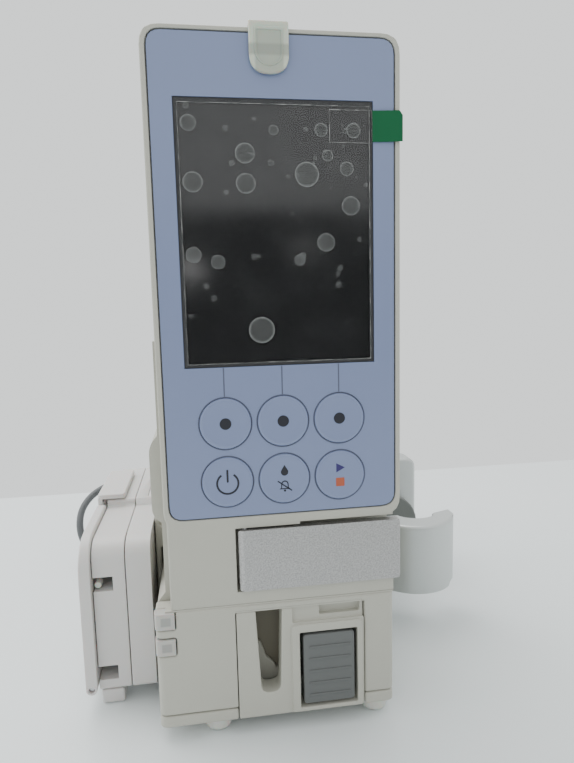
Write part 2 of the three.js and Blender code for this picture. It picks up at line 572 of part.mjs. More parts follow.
function warmerShells() {
  const { front, back, outer, seam, inner } = WARM;
  const block = (x0, x1) => join(
    alongX(warmerProfile(front, WARM_Z.low, WARM_Z.top, 8, back), x0, x1),
    alongX(outline([[60, 50], [back - 2, 50], [back - 2, WARM_Z.deck, 5], [60, WARM_Z.deck]]), x0, x1));
  const middleZ = (TUBE.upperZ + TUBE.lowerZ) / 2;
  const reach = (TUBE.upperZ - TUBE.lowerZ + TUBE.groove) / 2;
  const tubeOutline = outline([
    [0, TUBE.lowerZ - TUBE.groove / 2], [TUBE.turnY, TUBE.lowerZ - TUBE.groove / 2, reach * 0.8],
    [TUBE.turnY, TUBE.upperZ + TUBE.groove / 2, reach * 0.8], [0, TUBE.upperZ + TUBE.groove / 2],
  ]);
  const island = outline([
    [-1, TUBE.lowerZ + TUBE.groove / 2],
    [TUBE.turnY - TUBE.groove, TUBE.lowerZ + TUBE.groove / 2, reach * 0.5],
    [TUBE.turnY - TUBE.groove, TUBE.upperZ - TUBE.groove / 2, reach * 0.5],
    [-1, TUBE.upperZ - TUBE.groove / 2],
  ]);
  const floorX = outer + TUBE.depth;
  const groove = alongX(tubeOutline, outer - 5, floorX, 8).subtract(alongX(island, -100, 0, 8));
  const plateBay = box(floorX - 1, seam, 30, 94, middleZ - 15, middleZ + 15);
  const lugs = LUGS.map((y) => join(
    rodY(COVER_AXIS.x, COVER_AXIS.z, 1.8, y, y + 5, 16),
    box(COVER_AXIS.x, outer + 0.5, y, y + 5, COVER_AXIS.z - 0.9, COVER_AXIS.z + 0.9)));
  const bore = rodY(COVER_AXIS.x, COVER_AXIS.z, 1.05, 10, 120);
  const outerShell = cut(join(block(outer, seam - GAP / 2), ...lugs), groove, plateBay, bore);
  const innerShell = block(seam + GAP / 2, inner);
  const sideSeam = box(-47.6, -47.2, 62, 95, WARM_Z.deck - 1, WARM_Z.deck + 1);
  return [outerShell, cut(innerShell, sideSeam)];
}

function warmerCover() {
  const thick = WARM.outer - GAP - WARM.cover;
  const sheet = alongX(warmerProfile(19, COVER_AXIS.z, 59.7, 13, WARM.back + 1), WARM.cover,
    WARM.cover + thick);
  const roll = rodY(COVER_AXIS.x, COVER_AXIS.z, 1.8, 19, WARM.back + 1, 20);
  const bore = rodY(COVER_AXIS.x, COVER_AXIS.z, 1.05, 10, 120);
  const notches = LUGS.map((y) => box(WARM.cover - 1, WARM.outer, y - 0.4, y + 5.4, 0, 10.4));
  return cut(join(sheet, roll), bore, ...notches,
    box(WARM.cover - 1, WARM.outer, 59, 96, 58.4, 62));
}

const LUGS = [34, 92];

function warmerLatch() {
  const hookPlate = alongZ(rectangle(WARM.cover + 0.3, -56.2, 59.6, 95.4, 1.5), WARM_Z.deck + 0.6,
    WARM_Z.deck + 2.4);
  const skirt = box(WARM.cover + 0.3, WARM.cover + 2.1, 59.6, 95.4, 59.1, WARM_Z.deck + 1);
  return join(hookPlate, skirt);
}

function warmerBracket() {
  const plate = box(-43.4, -41.5, 40, 100, 16, 60);
  const hook = box(-43.4, -38.7, 40, 100, 48, 56);
  return join(plate, hook);
}

function warmerFoot() {
  return alongX(outline([[22.4, 0, 1.4], [30, 0, 1.4], [31, WARM_Z.low - GAP], [21.8, WARM_Z.low - GAP]]),
    -62.6, -55);
}

const [outerShell, innerShell] = warmerShells();
add("warmer_outer_shell", outerShell, WHITE);
add("warmer_inner_shell", innerShell, WHITE);
add("warmer_heater_plate", box(WARM.outer + TUBE.depth - 0.7, WARM.seam - 0.6, 31, 93, 14, 42.4), COPPER);
add("warmer_cover", warmerCover(), WHITE);
add("warmer_hinge_pin", rodY(COVER_AXIS.x, COVER_AXIS.z, 0.9, 20, WARM.back, 12), STEEL);
add("warmer_latch", warmerLatch(), WHITE);
add("warmer_bracket", warmerBracket(), BEIGE);
add("warmer_foot", warmerFoot(), WHITE);

// ---- warmer lead ------------------------------------------------------------------------------------
const leadNodes = [];

function leadRelief() {
  const collar = rodY(LEAD_EXIT.x, LEAD_EXIT.z, 5, WARM.back + GAP, WARM.back + 3, 20);
  const taper = rodY(LEAD_EXIT.x, LEAD_EXIT.z, 3.6, WARM.back + 2.5, LEAD_EXIT.y, 20, 2.4);
  return join(collar, taper);
}

function leadTube() {
  const points = LEAD_ROUTE.map(([x, y, z]) => new THREE.Vector3(x, y, z));
  const path = new THREE.CatmullRomCurve3(points, false, "centripetal");
  const section = new THREE.Shape().absarc(0, 0, LEAD_DIAMETER / 2, 0, 2 * Math.PI);
  const tube = new THREE.ExtrudeGeometry(section, { steps: 80, curveSegments: 4, extrudePath: path });
  return solid(tube);
}

function leadConnector() {
  const plug = rodY(SOCKET.x, SOCKET.z, 4.7, 111, 121, 20);
  const grip = rodY(SOCKET.x, SOCKET.z, 6.4, BODY.depth + 1.4, 131, 20);
  const boot = rodY(SOCKET.x, SOCKET.z, 3.8, 130, 140.8, 16, 2.3);
  return join(plug, grip, boot);
}

add("lead_relief", leadRelief(), GREY);
leadNodes.push(add("warmer_lead", leadTube(), GREY));
leadNodes.push(add("lead_connector", leadConnector(), GREY));

// ---- origin at the bottom centre of the pump, its clamp and its warmer --------------------------------
const bounds = new THREE.Box3();
pump.children.filter((mesh) => !leadNodes.includes(mesh)).forEach((mesh) => bounds.expandByObject(mesh));
const centre = bounds.getCenter(new THREE.Vector3());
pump.position.set(-centre.x, -centre.y, -bounds.min.z);

export default pump;
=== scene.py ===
"""Upright infusion pump with a pole clamp and a line warmer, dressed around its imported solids.

Run as a script inside Blender. Sizes are in millimetres in the pump's own frame: x runs right from
the middle of the display, y back from the front face, z up from the table.
"""
import functools
import json
import math

import bmesh
import bpy
from bpy.props import FloatProperty, FloatVectorProperty, IntProperty, PointerProperty
from mathutils import Matrix, Vector
from mathutils.geometry import tessellate_polygon
from mathutils.kdtree import KDTree
import numpy as np


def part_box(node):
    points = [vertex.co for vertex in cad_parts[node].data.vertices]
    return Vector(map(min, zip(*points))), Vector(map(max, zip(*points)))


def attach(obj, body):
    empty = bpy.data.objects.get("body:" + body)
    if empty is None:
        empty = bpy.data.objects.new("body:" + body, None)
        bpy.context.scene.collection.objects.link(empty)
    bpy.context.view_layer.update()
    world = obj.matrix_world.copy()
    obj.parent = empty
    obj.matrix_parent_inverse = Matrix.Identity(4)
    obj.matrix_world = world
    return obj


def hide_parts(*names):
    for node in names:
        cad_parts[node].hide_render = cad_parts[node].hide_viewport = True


bl_info = {
    "name": "Infusion Pump Looks",
    "version": (1, 0, 0),
    "blender": (4, 5, 0),
    "location": "View3D > Sidebar > Pump",
    "description": "Builds the visible surfaces of an upright infusion pump, piece by piece",
    "category": "Add Mesh",
}

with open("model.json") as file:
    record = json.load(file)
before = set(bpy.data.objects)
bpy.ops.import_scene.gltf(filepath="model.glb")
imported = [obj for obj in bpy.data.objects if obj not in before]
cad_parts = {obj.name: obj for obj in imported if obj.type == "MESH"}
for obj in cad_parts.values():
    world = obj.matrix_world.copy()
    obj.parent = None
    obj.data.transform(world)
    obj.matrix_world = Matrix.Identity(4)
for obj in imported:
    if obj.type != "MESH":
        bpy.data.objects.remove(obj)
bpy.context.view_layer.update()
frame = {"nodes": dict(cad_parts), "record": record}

MM = 0.001
FOLD_AREA = 0.4e-6
PANEL_LOW, PANEL_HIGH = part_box("keypad_panel")
ORIGIN = Vector(((PANEL_LOW.x + PANEL_HIGH.x) / 2, PANEL_LOW.y - 0.1 * MM, 0.0))

KEY_PITCH = 17.4
KEY_ROWS = (101.2, 83.3)
KEY_NODES = ("key_soft_left", "key_soft_middle", "key_soft_right", "key_power", "key_purge", "key_start")
WINDOW = {"half": 28.7, "low": 118.1, "high": 194.0}
CLAMP = (67.0, 26.0)
SOCKET = (-22.0, 26.0)
LEAD_EXIT = (-57.0, 126.5, 46.0)

# The lead's route, from the warmer's gland along the table to the socket on the pump's back.
LEAD_ROUTE = [
    (-57, 126.5, 46), (-56.4, 136, 46), (-56.6, 144, 44.8), (-59.6, 151, 43), (-65.4, 156.6, 41.2),
    (-73, 159.2, 39.4), (-81, 157.8, 37.2), (-87.6, 153, 33.8), (-91.4, 146.6, 28.8), (-92, 141, 22),
    (-90, 138.4, 14.4), (-85, 139, 7.4), (-77.6, 141, 3.2), (-69, 143.2, 2.1), (-60, 145.4, 2.1),
    (-50, 146.6, 2.1), (-40, 145, 2.1), (-31, 140.6, 2.1), (-22, 134, 2.1), (-13, 127.4, 2.1),
    (-4, 123.2, 2.1), (6, 121.9, 2.1), (15.6, 124, 2.1), (23.6, 129.8, 2.1), (28.4, 138, 2.1),
    (28.6, 148, 2.1), (25, 157, 2.1), (18, 163.6, 2.1), (9, 167, 2.1), (0, 167.6, 2.6),
    (-8, 167.2, 4.8), (-14.6, 165.8, 9.2), (-19.6, 162.4, 14.6), (-22.4, 157, 20), (-22.6, 149.6, 24.4),
    (-22, 141.1, 26),
]


# ---- what a user may change ----------------------------------------------------------------------
def length(label, description, default):
    return FloatProperty(name=label, description=description, default=default * MM, min=0.0,
                         unit="LENGTH", subtype="DISTANCE", precision=5)


def colour(label, description, default):
    return FloatVectorProperty(name=label, description=description, default=default, size=3,
                               min=0.0, max=1.0, subtype="COLOR")


class PumpSizes(bpy.types.PropertyGroup):
    moulding_edge: length("Moulding edge", "Radius along the casing's outer edges", 0.7)
    fine_edge: length("Fine edge", "Radius along small mouldings and key holes", 0.28)
    metal_edge: length("Metal edge", "Radius along machined metal edges", 0.3)
    casting_edge: length("Casting edge", "Radius along the cast clamp", 1.5)
    warmer_edge: length("Warmer edge", "Radius along the warmer's outer edges", 2.2)
    print_height: length("Print height", "How far printed marks stand off the overlay", 0.03)
    lead_diameter: length("Lead diameter", "Outside diameter of the warmer's lead", 3.6)
    lead_length: length("Lead length", "Length of the warmer's lead between its two ends", 322.0)
    bubbles: IntProperty(name="Small bubbles", description="Small air bubbles under the film",
                         default=70, min=0, max=400)


class PumpColours(bpy.types.PropertyGroup):
    beige: colour("Casing", "Beige casing plastic", (0.485, 0.475, 0.415))
    blue: colour("Overlay", "Printed keypad overlay", (0.205, 0.25, 0.405))
    white: colour("Warmer", "Warm white warmer plastic", (0.66, 0.64, 0.625))
    grey: colour("Latch", "Grey latch button", (0.125, 0.13, 0.127))
    satin: colour("Lever", "Blasted and anodised aluminium", (0.42, 0.41, 0.405))
    casting: colour("Clamp", "Cast aluminium", (0.60, 0.62, 0.61))
    lens: colour("Lens", "Pale translucent alarm lens", (0.50, 0.54, 0.455))
    tab: colour("Pull tab", "Green pull tab of the film", (0.0, 0.105, 0.036))


# ---- shader and geometry node wiring -------------------------------------------------------------
def add_node(tree, kind, settings=None, sockets=None):
    """Add one node: its settings first, then a value or a link for each socket named or numbered."""
    node = tree.nodes.new(kind)
    for name, value in (settings or {}).items():
        setattr(node, name, value)
    for key, value in (sockets or {}).items():
        value = getattr(value, "socket", value)
        if isinstance(value, bpy.types.NodeSocket):
            tree.links.new(value, node.inputs[key])
        else:
            node.inputs[key].default_value = value
    return node


class Level:
    """A shader value that takes part in arithmetic: each operator adds its Math node."""

    def __init__(self, tree, socket):
        self.tree, self.socket = tree, socket

    def math(self, operation, *terms, clamp=False):
        terms = {i: term for i, term in enumerate(terms)}
        node = add_node(self.tree, "ShaderNodeMath", {"operation": operation, "use_clamp": clamp}, terms)
        return Level(self.tree, node.outputs[0])

    def __add__(self, other):
        return self.math("ADD", self, other)

    def __sub__(self, other):
        return self.math("SUBTRACT", self, other)

    def __rsub__(self, other):
        return self.math("SUBTRACT", other, self)

    def __mul__(self, other):
        return self.math("MULTIPLY", self, other)

    def __truediv__(self, other):
        return self.math("DIVIDE", self, other)

    def __abs__(self):
        return self.math("ABSOLUTE", self)

    def __pow__(self, other):
        return self.math("POWER", self, other)

    def under(self, limit, softness):
        """1 well under the limit, 0 well over it, with a ramp of the given width."""
        return ((limit - self) / softness + 0.5).clamped()

    def clamped(self):
        return self.math("ADD", self, 0.0, clamp=True)

    __radd__ = __add__
    __rmul__ = __mul__


class Finish:
    """A material built on the principled shader, patterned by object coordinates."""

    def __init__(self, name, **constants):
        self.material = bpy.data.materials.new(name)
        self.material.use_nodes = True
        self.tree = self.material.node_tree
        self.shader = self.tree.nodes["Principled BSDF"]
        for label, value in constants.items():
            self.shader.inputs[label.replace("_", " ")].default_value = value
        self.place = self.node("ShaderNodeTexCoord").outputs["Object"]

    def node(self, kind, settings=None, sockets=None):
        return add_node(self.tree, kind, settings, sockets)

    def level(self, socket):
        return Level(self.tree, socket)

    def noise(self, size_mm, detail=2.0, stretch=None, roughness=0.5):
        """Smooth noise whose grains are about size_mm across, drawn out along a stretched axis."""
        place = self.place
        if stretch:
            place = self.node("ShaderNodeMapping", None, {"Vector": place, "Scale": stretch}).outputs[0]
        made = self.node("ShaderNodeTexNoise", None, {
            "Vector": place, "Scale": 1 / (size_mm * MM), "Detail": detail, "Roughness": roughness})
        return self.level(made.outputs[0])

    def blend(self, factor, first, second):
        first, second = (shade if hasattr(shade, "is_output") else (*shade, 1.0) for shade in (first, second))
        made = self.node("ShaderNodeMix", {"data_type": "RGBA"}, {0: factor, 6: first, 7: second})
        return made.outputs[2]

    def axis(self, index):
        """The x, y or z of a point in the pump's own millimetres."""
        split = self.node("ShaderNodeSeparateXYZ", None, {0: self.place})
        return (self.level(split.outputs[index]) - ORIGIN[index]) * (1 / MM)

    def feed(self, label, value):
        self.tree.links.new(getattr(value, "socket", value), self.shader.inputs[label])

    def bump(self, height, depth_mm, strength=1.0):
        made = self.node("ShaderNodeBump", None, {"Height": height, "Distance": depth_mm * MM,
                                                  "Strength": strength})
        self.feed("Normal", made.outputs[0])


def shade(base, amount):
    return tuple(min(1.0, channel * amount) for channel in base)


# ---- finishes ------------------------------------------------------------------------------------
def moulded(name, base, roughness, grain, depth, mottle=0.04, **constants):
    """Moulded plastic: a fine eroded grain, faint mottling and slightly uneven gloss."""
    finish = Finish(name, **constants)
    broad = finish.noise(14, detail=3)
    fine = finish.noise(grain, detail=3, roughness=0.6)
    finish.feed("Base Color", finish.blend(
        broad * 0.7 + fine * 0.3, shade(base, 1 - mottle), shade(base, 1 + mottle)))
    finish.feed("Roughness", broad * 0.1 + (roughness - 0.05))
    finish.bump(fine, depth)
    return finish


def colours():
    return bpy.context.scene.pump_colours


@functools.cache
def beige():
    finish = moulded("beige casing plastic", colours().beige, 0.5, 0.42, 0.035,
                     Specular_IOR_Level=0.4)
    return finish.material


@functools.cache
def overlay_blue():
    finish = moulded("blue printed overlay", colours().blue, 0.36, 0.3, 0.008, 0.025,
                     Coat_Weight=0.15, Coat_Roughness=0.3)
    return finish.material


@functools.cache
def warm_white():
    finish = moulded("warm white plastic", colours().white, 0.42, 0.5, 0.02, 0.02,
                     Subsurface_Weight=0.12, Subsurface_Scale=0.002, Specular_IOR_Level=0.45)
    return finish.material


@functools.cache
def latch_grey():
    return moulded("grey latch plastic", colours().grey, 0.48, 0.4, 0.02).material


@functools.cache
def charcoal():
    return moulded("charcoal plastic", (0.022, 0.022, 0.024), 0.5, 0.45, 0.03, 0.15).material


# Painted shade: a near-black colour for flat discs that stand in for the shade inside the grille's holes.
@functools.cache
def painted_hole_shade():
    return moulded("painted shade of grille hole", (0.006, 0.006, 0.006), 0.8, 0.5, 0.01).material


@functools.cache
def tube_guide_olive():
    return moulded("olive tube guide", (0.22, 0.20, 0.15), 0.55, 0.6, 0.02, 0.08).material


@functools.cache
def blasted_aluminium():
    """Bead-blasted sheet: every bead mark glints a little differently."""
    finish = Finish("blasted anodised aluminium", Metallic=1.0)
    marks = finish.noise(0.5, detail=2, roughness=0.65)
    broad = finish.noise(18, detail=2)
    glint = ((marks - 0.5) * 3.2 + 0.5).clamped()
    finish.feed("Base Color", finish.blend(glint, shade(colours().satin, 0.84), shade(colours().satin, 1.26)))
    finish.feed("Roughness", marks * 0.2 + broad * 0.05 + 0.3)
    finish.bump(marks, 0.11, 1.0)
    return finish.material


@functools.cache
def cast_aluminium():
    finish = Finish("cast aluminium", Metallic=1.0)
    sand = finish.noise(0.5, detail=4, roughness=0.6)
    broad = finish.noise(12, detail=3)
    base = colours().casting
    finish.feed("Base Color", finish.blend(sand * 0.6 + broad * 0.4, shade(base, 0.9), shade(base, 1.08)))
    finish.feed("Roughness", sand * 0.12 + broad * 0.1 + 0.36)
    finish.bump(sand, 0.04, 0.8)
    return finish.material


@functools.cache
def ground_steel():
    finish = Finish("ground steel", Metallic=1.0)
    streaks = finish.noise(0.6, detail=3, stretch=(1.0, 0.05, 1.0))
    finish.feed("Base Color", finish.blend(streaks, (0.42, 0.42, 0.43), (0.6, 0.6, 0.61)))
    finish.feed("Roughness", streaks * 0.15 + 0.2)
    finish.bump(streaks, 0.01, 0.6)
    return finish.material


@functools.cache
def foot_rubber():
    finish = moulded("translucent foot rubber", (0.62, 0.63, 0.58), 0.38, 0.8, 0.01, 0.03,
                     Subsurface_Weight=0.5, Subsurface_Scale=0.003)
    return finish.material


@functools.cache
def clamp_rubber():
    return moulded("grey clamp rubber", (0.17, 0.18, 0.17), 0.7, 0.6, 0.04, 0.12).material


@functools.cache
def lead_jacket():
    return moulded("grey lead jacket", (0.10, 0.105, 0.11), 0.5, 0.35, 0.012, 0.08).material


@functools.cache
def board_green():
    """Circuit board: copper tracks show as raised lighter lines through the green mask."""
    finish = Finish("circuit board green", Coat_Weight=0.4)
    made = finish.node("ShaderNodeTexBrick", {"offset": 0.35}, {
        "Vector": finish.place, "Scale": 180.0, "Mortar Size": 0.03})
    tracks = finish.level(made.outputs["Fac"])
    finish.feed("Base Color", finish.blend(tracks, (0.01, 0.075, 0.03), (0.05, 0.22, 0.09)))
    finish.feed("Roughness", tracks * 0.2 + 0.3)
    finish.bump(tracks, 0.03)
    return finish.material


@functools.cache
def anodised_plate():
    finish = Finish("anodised heater plate", Metallic=0.8)
    streaks = finish.noise(0.7, detail=2, stretch=(1.0, 0.08, 1.0))
    finish.feed("Base Color", finish.blend(streaks, (0.52, 0.40, 0.36), (0.66, 0.52, 0.47)))
    finish.feed("Roughness", streaks * 0.2 + 0.3)
    return finish.material


@functools.cache
def lens_plastic():
    """Milky lens with painted light: lighter towards its rounded end, where the light shows through, and
    painted darker round it.
    """
    finish = moulded("milky alarm lens", colours().lens, 0.24, 1.2, 0.015, 0.03,
                     Subsurface_Weight=0.35, Subsurface_Scale=0.0025, Coat_Weight=0.35,
                     Coat_Roughness=0.12, Specular_IOR_Level=0.5)
    height = finish.axis(2)
    band = (abs(height - 206.4)).under(1.5, 0.8)
    # Painted light: the mask below lights the middle of the rounded end, and the rest of the lens gets a
    # shaded copy of the colour.
    side = (finish.axis(0) + 1.45) * 0.1
    edge = abs(side).under(0.4, 0.06) * (height - 203.2).under(8.5, 1.0)
    body = finish.blend(edge, shade(colours().lens, 1.15), shade(colours().lens, 0.82))
    finish.feed("Base Color", finish.blend(band * 0.6, body, shade(colours().lens, 0.52)))
    return finish.material


@functools.cache
def status_lens():
    """Square indicator lens with a darker light pipe behind its middle."""
    finish = moulded("status lens", (0.47, 0.46, 0.43), 0.3, 0.8, 0.01, 0.03,
                     Subsurface_Weight=0.3, Subsurface_Scale=0.002, Coat_Weight=0.3)
    across = abs(finish.axis(0) + 37.9).under(1.5, 0.35)
    upper = abs(finish.axis(2) - 40.65).under(1.35, 0.35)
    lower = abs(finish.axis(2) - 32.15).under(1.35, 0.35)
    core = across * (upper + lower)
    finish.feed("Base Color", finish.blend(core, (0.47, 0.46, 0.43), (0.33, 0.33, 0.31)))
    return finish.material


@functools.cache
def display_glass():
    """Black glass: a printed border round a slightly lighter switched-off display."""
    finish = Finish("display glass", Specular_IOR_Level=0.5)
    middle = (WINDOW["low"] + WINDOW["high"]) / 2
    across = abs(finish.axis(0)).under(26.7, 0.15)
    along = abs(finish.axis(2) - middle).under(35.6, 0.15)
    finish.feed("Base Color", finish.blend(across * along, (0.002, 0.002, 0.0025), (0.006, 0.006, 0.0068)))
    waves = finish.noise(22, detail=1)
    finish.feed("Roughness", waves * 0.08 + 0.08)
    return finish.material


@functools.cache
def clear_film():
    """Protective film: nearly invisible, faintly milky where it creases."""
    finish = Finish("clear protective film", Base_Color=(0.3, 0.3, 0.3, 1.0), Specular_IOR_Level=0.5)
    creases = finish.noise(12, detail=2)
    finish.feed("Alpha", (creases - 0.5).clamped() * 0.08 + 0.02)
    finish.feed("Roughness", creases * 0.1 + 0.1)
    return finish.material


@functools.cache
def crease_film():
    """Where the film is folded or cut it turns milky in broken lines."""
    finish = Finish("milky film crease", Base_Color=(0.6, 0.6, 0.58, 1.0))
    broken = finish.noise(2.2, detail=3)
    finish.feed("Alpha", (broken - 0.42).clamped() * 2.2 + 0.06)
    finish.feed("Roughness", broken * 0.2 + 0.15)
    return finish.material


@functools.cache
def bubble_film():
    """Air trapped under the film: a pale edge round a clearer middle."""
    finish = Finish("air bubble", Base_Color=(0.42, 0.43, 0.42, 1.0), Specular_IOR_Level=0.6)
    rim = finish.level(finish.node("ShaderNodeAttribute", {"attribute_name": "rim"}).outputs["Fac"])
    speckle = finish.noise(0.5, detail=2)
    finish.feed("Alpha", (rim ** 18.0) * 0.5 + speckle * 0.1 + 0.02)
    finish.feed("Roughness", speckle * 0.15 + 0.08)
    return finish.material


@functools.cache
def green_tab():
    finish = moulded("green pull tab", colours().tab, 0.4, 3.0, 0.02, 0.08, Specular_IOR_Level=0.25)
    return finish.material


def ink(name, base):
    return moulded(name, base, 0.42, 0.3, 0.004, 0.05).material


@functools.cache
def black_ink():
    return ink("black ink", (0.012, 0.012, 0.02))


@functools.cache
def line_ink():
    return ink("slate line ink", (0.10, 0.11, 0.165))


@functools.cache
def navy_ink():
    return ink("navy ink", (0.03, 0.02, 0.13))


@functools.cache
def orange_ink():
    return ink("orange ink", (0.42, 0.09, 0.04))


# ---- forms ---------------------------------------------------------------------------------------
def arc(cx, cz, radius, start, end, steps=8):
    """Points along an arc, with its angles in degrees."""
    angles = [math.radians(start + (end - start) * i / steps) for i in range(steps + 1)]
    return [(cx + radius * math.cos(a), cz + radius * math.sin(a)) for a in angles]


def round_box(x0, x1, z0, z1, radius, steps=6):
    return (arc(x1 - radius, z1 - radius, radius, 0, 90, steps)
            + arc(x0 + radius, z1 - radius, radius, 90, 180, steps)
            + arc(x0 + radius, z0 + radius, radius, 180, 270, steps)
            + arc(x1 - radius, z0 + radius, radius, 270, 360, steps))


def disc(cx, cz, radius, steps=40):
    return arc(cx, cz, radius, 0, 360 * (1 - 1 / steps), steps - 1)


class Form:
    """A mesh being made in the pump's millimetres."""

    def __init__(self):
        self.mesh = bmesh.new()

    def prism(self, loops, y0, y1):
        """Extrude outlines drawn in x-z from y0 back to y1: the first is the outside, the rest holes."""
        flat = [point for loop in loops for point in loop]
        near, far = ([self.mesh.verts.new((x, y, z)) for x, z in flat] for y in (y0, y1))
        for corners in tessellate_polygon([[Vector((x, z, 0)) for x, z in loop] for loop in loops]):
            self.mesh.faces.new([near[i] for i in corners])
            self.mesh.faces.new([far[i] for i in reversed(corners)])
        start = 0
        for loop in loops:
            for i in range(len(loop)):
                a, b = start + i, start + (i + 1) % len(loop)
                self.mesh.faces.new([near[a], near[b], far[b], far[a]])
            start += len(loop)
        return self

    def box(self, x0, x1, y0, y1, z0, z1):
        return self.prism([[(x0, z0), (x1, z0), (x1, z1), (x0, z1)]], y0, y1)

    def lathe(self, profile, centre, axis=1, sides=48):
        """Turn (radius, place along the axis) points about an axis through centre."""
        first, second = [i for i in range(3) if i != axis]
        rings = []
        for radius, along in profile:
            ring = []
            for i in range(sides if radius > 0 else 1):
                turn = 2 * math.pi * i / sides
                point = Vector(centre)
                point[axis] = along
                point[first] += radius * math.cos(turn)
                point[second] += radius * math.sin(turn)
                ring.append(self.mesh.verts.new(point))
            rings.append(ring)
        for ring, after in zip(rings, rings[1:]):
            for i in range(sides):
                corners = [ring[i % len(ring)], ring[(i + 1) % len(ring)], after[(i + 1) % len(after)],
                           after[i % len(after)]]
                corners = list(dict.fromkeys(corners))
                if len(corners) > 2:
                    self.mesh.faces.new(corners)
        return self

    def tube(self, path, radius_at, sides=20):
        """A closed tube along a path; radius_at gives its radius from the share of the way along."""
        frames = transported(path)
        rings = []
        for i, (point, side, up) in enumerate(frames):
            radius = radius_at(i / (len(path) - 1))
            rings.append([self.mesh.verts.new(point + radius * (side * math.cos(t) + up * math.sin(t)))
                          for t in (2 * math.pi * k / sides for k in range(sides))])
        for ring, after in zip(rings, rings[1:]):
            for i in range(sides):
                k = (i + 1) % sides
                self.mesh.faces.new([ring[i], ring[k], after[k], after[i]])
        self.mesh.faces.new(rings[0])
        self.mesh.faces.new(rings[-1])
        return self

    def piece(self, name, edge=0.0, segments=3, crease=35):
        """The finished object, with its place in its mesh and its sharp edges rounded."""
        self.mesh.transform(Matrix.Translation(ORIGIN) @ Matrix.Scale(MM, 4))
        bmesh.ops.remove_doubles(self.mesh, verts=self.mesh.verts, dist=1e-7)
        if edge:
            bmesh.ops.dissolve_limit(self.mesh, angle_limit=math.radians(0.5), verts=self.mesh.verts,
                                     edges=self.mesh.edges)
        bmesh.ops.recalc_face_normals(self.mesh, faces=self.mesh.faces)
        data = bpy.data.meshes.new(name)
        self.mesh.to_mesh(data)
        self.mesh.free()
        made = bpy.data.objects.new(name, data)
        bpy.context.scene.collection.objects.link(made)
        soften(made, edge * MM, segments, crease)
        return made


def transported(path):
    """Each point of a path with two axes across it that turn as little as they can."""
    points = [Vector(p) for p in path]
    up = Vector((0, 0, 1))
    frames = []
    for i, point in enumerate(points):
        ahead = (points[min(i + 1, len(points) - 1)] - points[max(i - 1, 0)]).normalized()
        side = ahead.cross(up)
        side.normalize()
        up = side.cross(ahead).normalized()
        frames.append((point, side, up))
    return frames


def smooth_path(points, per_span=7):
    """Centripetal Catmull-Rom curve through the points."""
    points = [Vector(p) for p in points]
    points = [points[0] * 2 - points[1], *points, points[-1] * 2 - points[-2]]
    path = []
    for a, b, c, d in zip(points, points[1:], points[2:], points[3:]):
        knots = [0.0]
        for start, end in ((a, b), (b, c), (c, d)):
            knots.append(knots[-1] + math.sqrt((end - start).length))
        for i in range(per_span):
            t = knots[1] + (knots[2] - knots[1]) * i / per_span
            layer = [a, b, c, d]
            for depth in (1, 2, 3):
                layer = [
                    layer[k].lerp(layer[k + 1], blend_share(knots, k, depth, t)) for k in range(4 - depth)]
            path.append(layer[0])
    path.append(points[-2])
    return path


def blend_share(knots, k, depth, t):
    """How far between two neighbours of the pyramid the curve lies at t."""
    if depth == 3:
        return (t - knots[1]) / (knots[2] - knots[1])
    return (t - knots[k]) / (knots[k + depth] - knots[k])


def settle(piece):
    """Turn a piece and its modifiers into one plain mesh."""
    depsgraph = bpy.context.evaluated_depsgraph_get()
    mesh = bpy.data.meshes.new_from_object(piece.evaluated_get(depsgraph), depsgraph=depsgraph)
    piece.modifiers.clear()
    spent = piece.data
    piece.data = mesh
    bpy.data.meshes.remove(spent)
    return piece


def soften(piece, edge, segments=3, crease=35, share=None):
    """Round the sharp edges, as far as the surfaces beside them have room, and shade the rest smooth."""
    piece.data.shade_smooth()
    if edge:
        plain, folds = piece.data.copy(), []
        for _ in range(4):
            weigh_edges(piece.data, edge, share, folds)
            bevel = piece.modifiers.new("edge", "BEVEL")
            bevel.width, bevel.segments, bevel.limit_method = edge, segments, "WEIGHT"
            bevel.use_clamp_overlap, bevel.miter_outer = False, "MITER_ARC"
            settle(piece)
            found = folded_corners(piece.data)
            if not found:
                break
            folds += found
            piece.data = plain.copy()
        else:
            weigh_edges(piece.data, edge, share, folds)
    piece.data.set_sharp_from_angle(angle=math.radians(crease))
    even = piece.modifiers.new("even", "WEIGHTED_NORMAL")
    even.keep_sharp = True
    return settle(piece)


def folded_corners(data):
    """Corners of the faces whose triangles cover more than the face does, so that it folds over itself."""
    data.calc_loop_triangles()
    covered = {}
    for triangle in data.loop_triangles:
        covered[triangle.polygon_index] = covered.get(triangle.polygon_index, 0) + triangle.area
    return [data.vertices[i].co.copy() for face in data.polygons for i in face.vertices
            if covered[face.index] - face.area > FOLD_AREA]


def smooth_regions(mesh, sharp):
    """Groups of faces that meet in soft edges only."""
    left = set(mesh.faces)
    while left:
        group, front = set(), [left.pop()]
        while front:
            face = front.pop()
            group.add(face)
            for line in face.edges:
                if line not in sharp:
                    for other in line.link_faces:
                        if other in left:
                            left.discard(other)
                            front.append(other)
        yield group


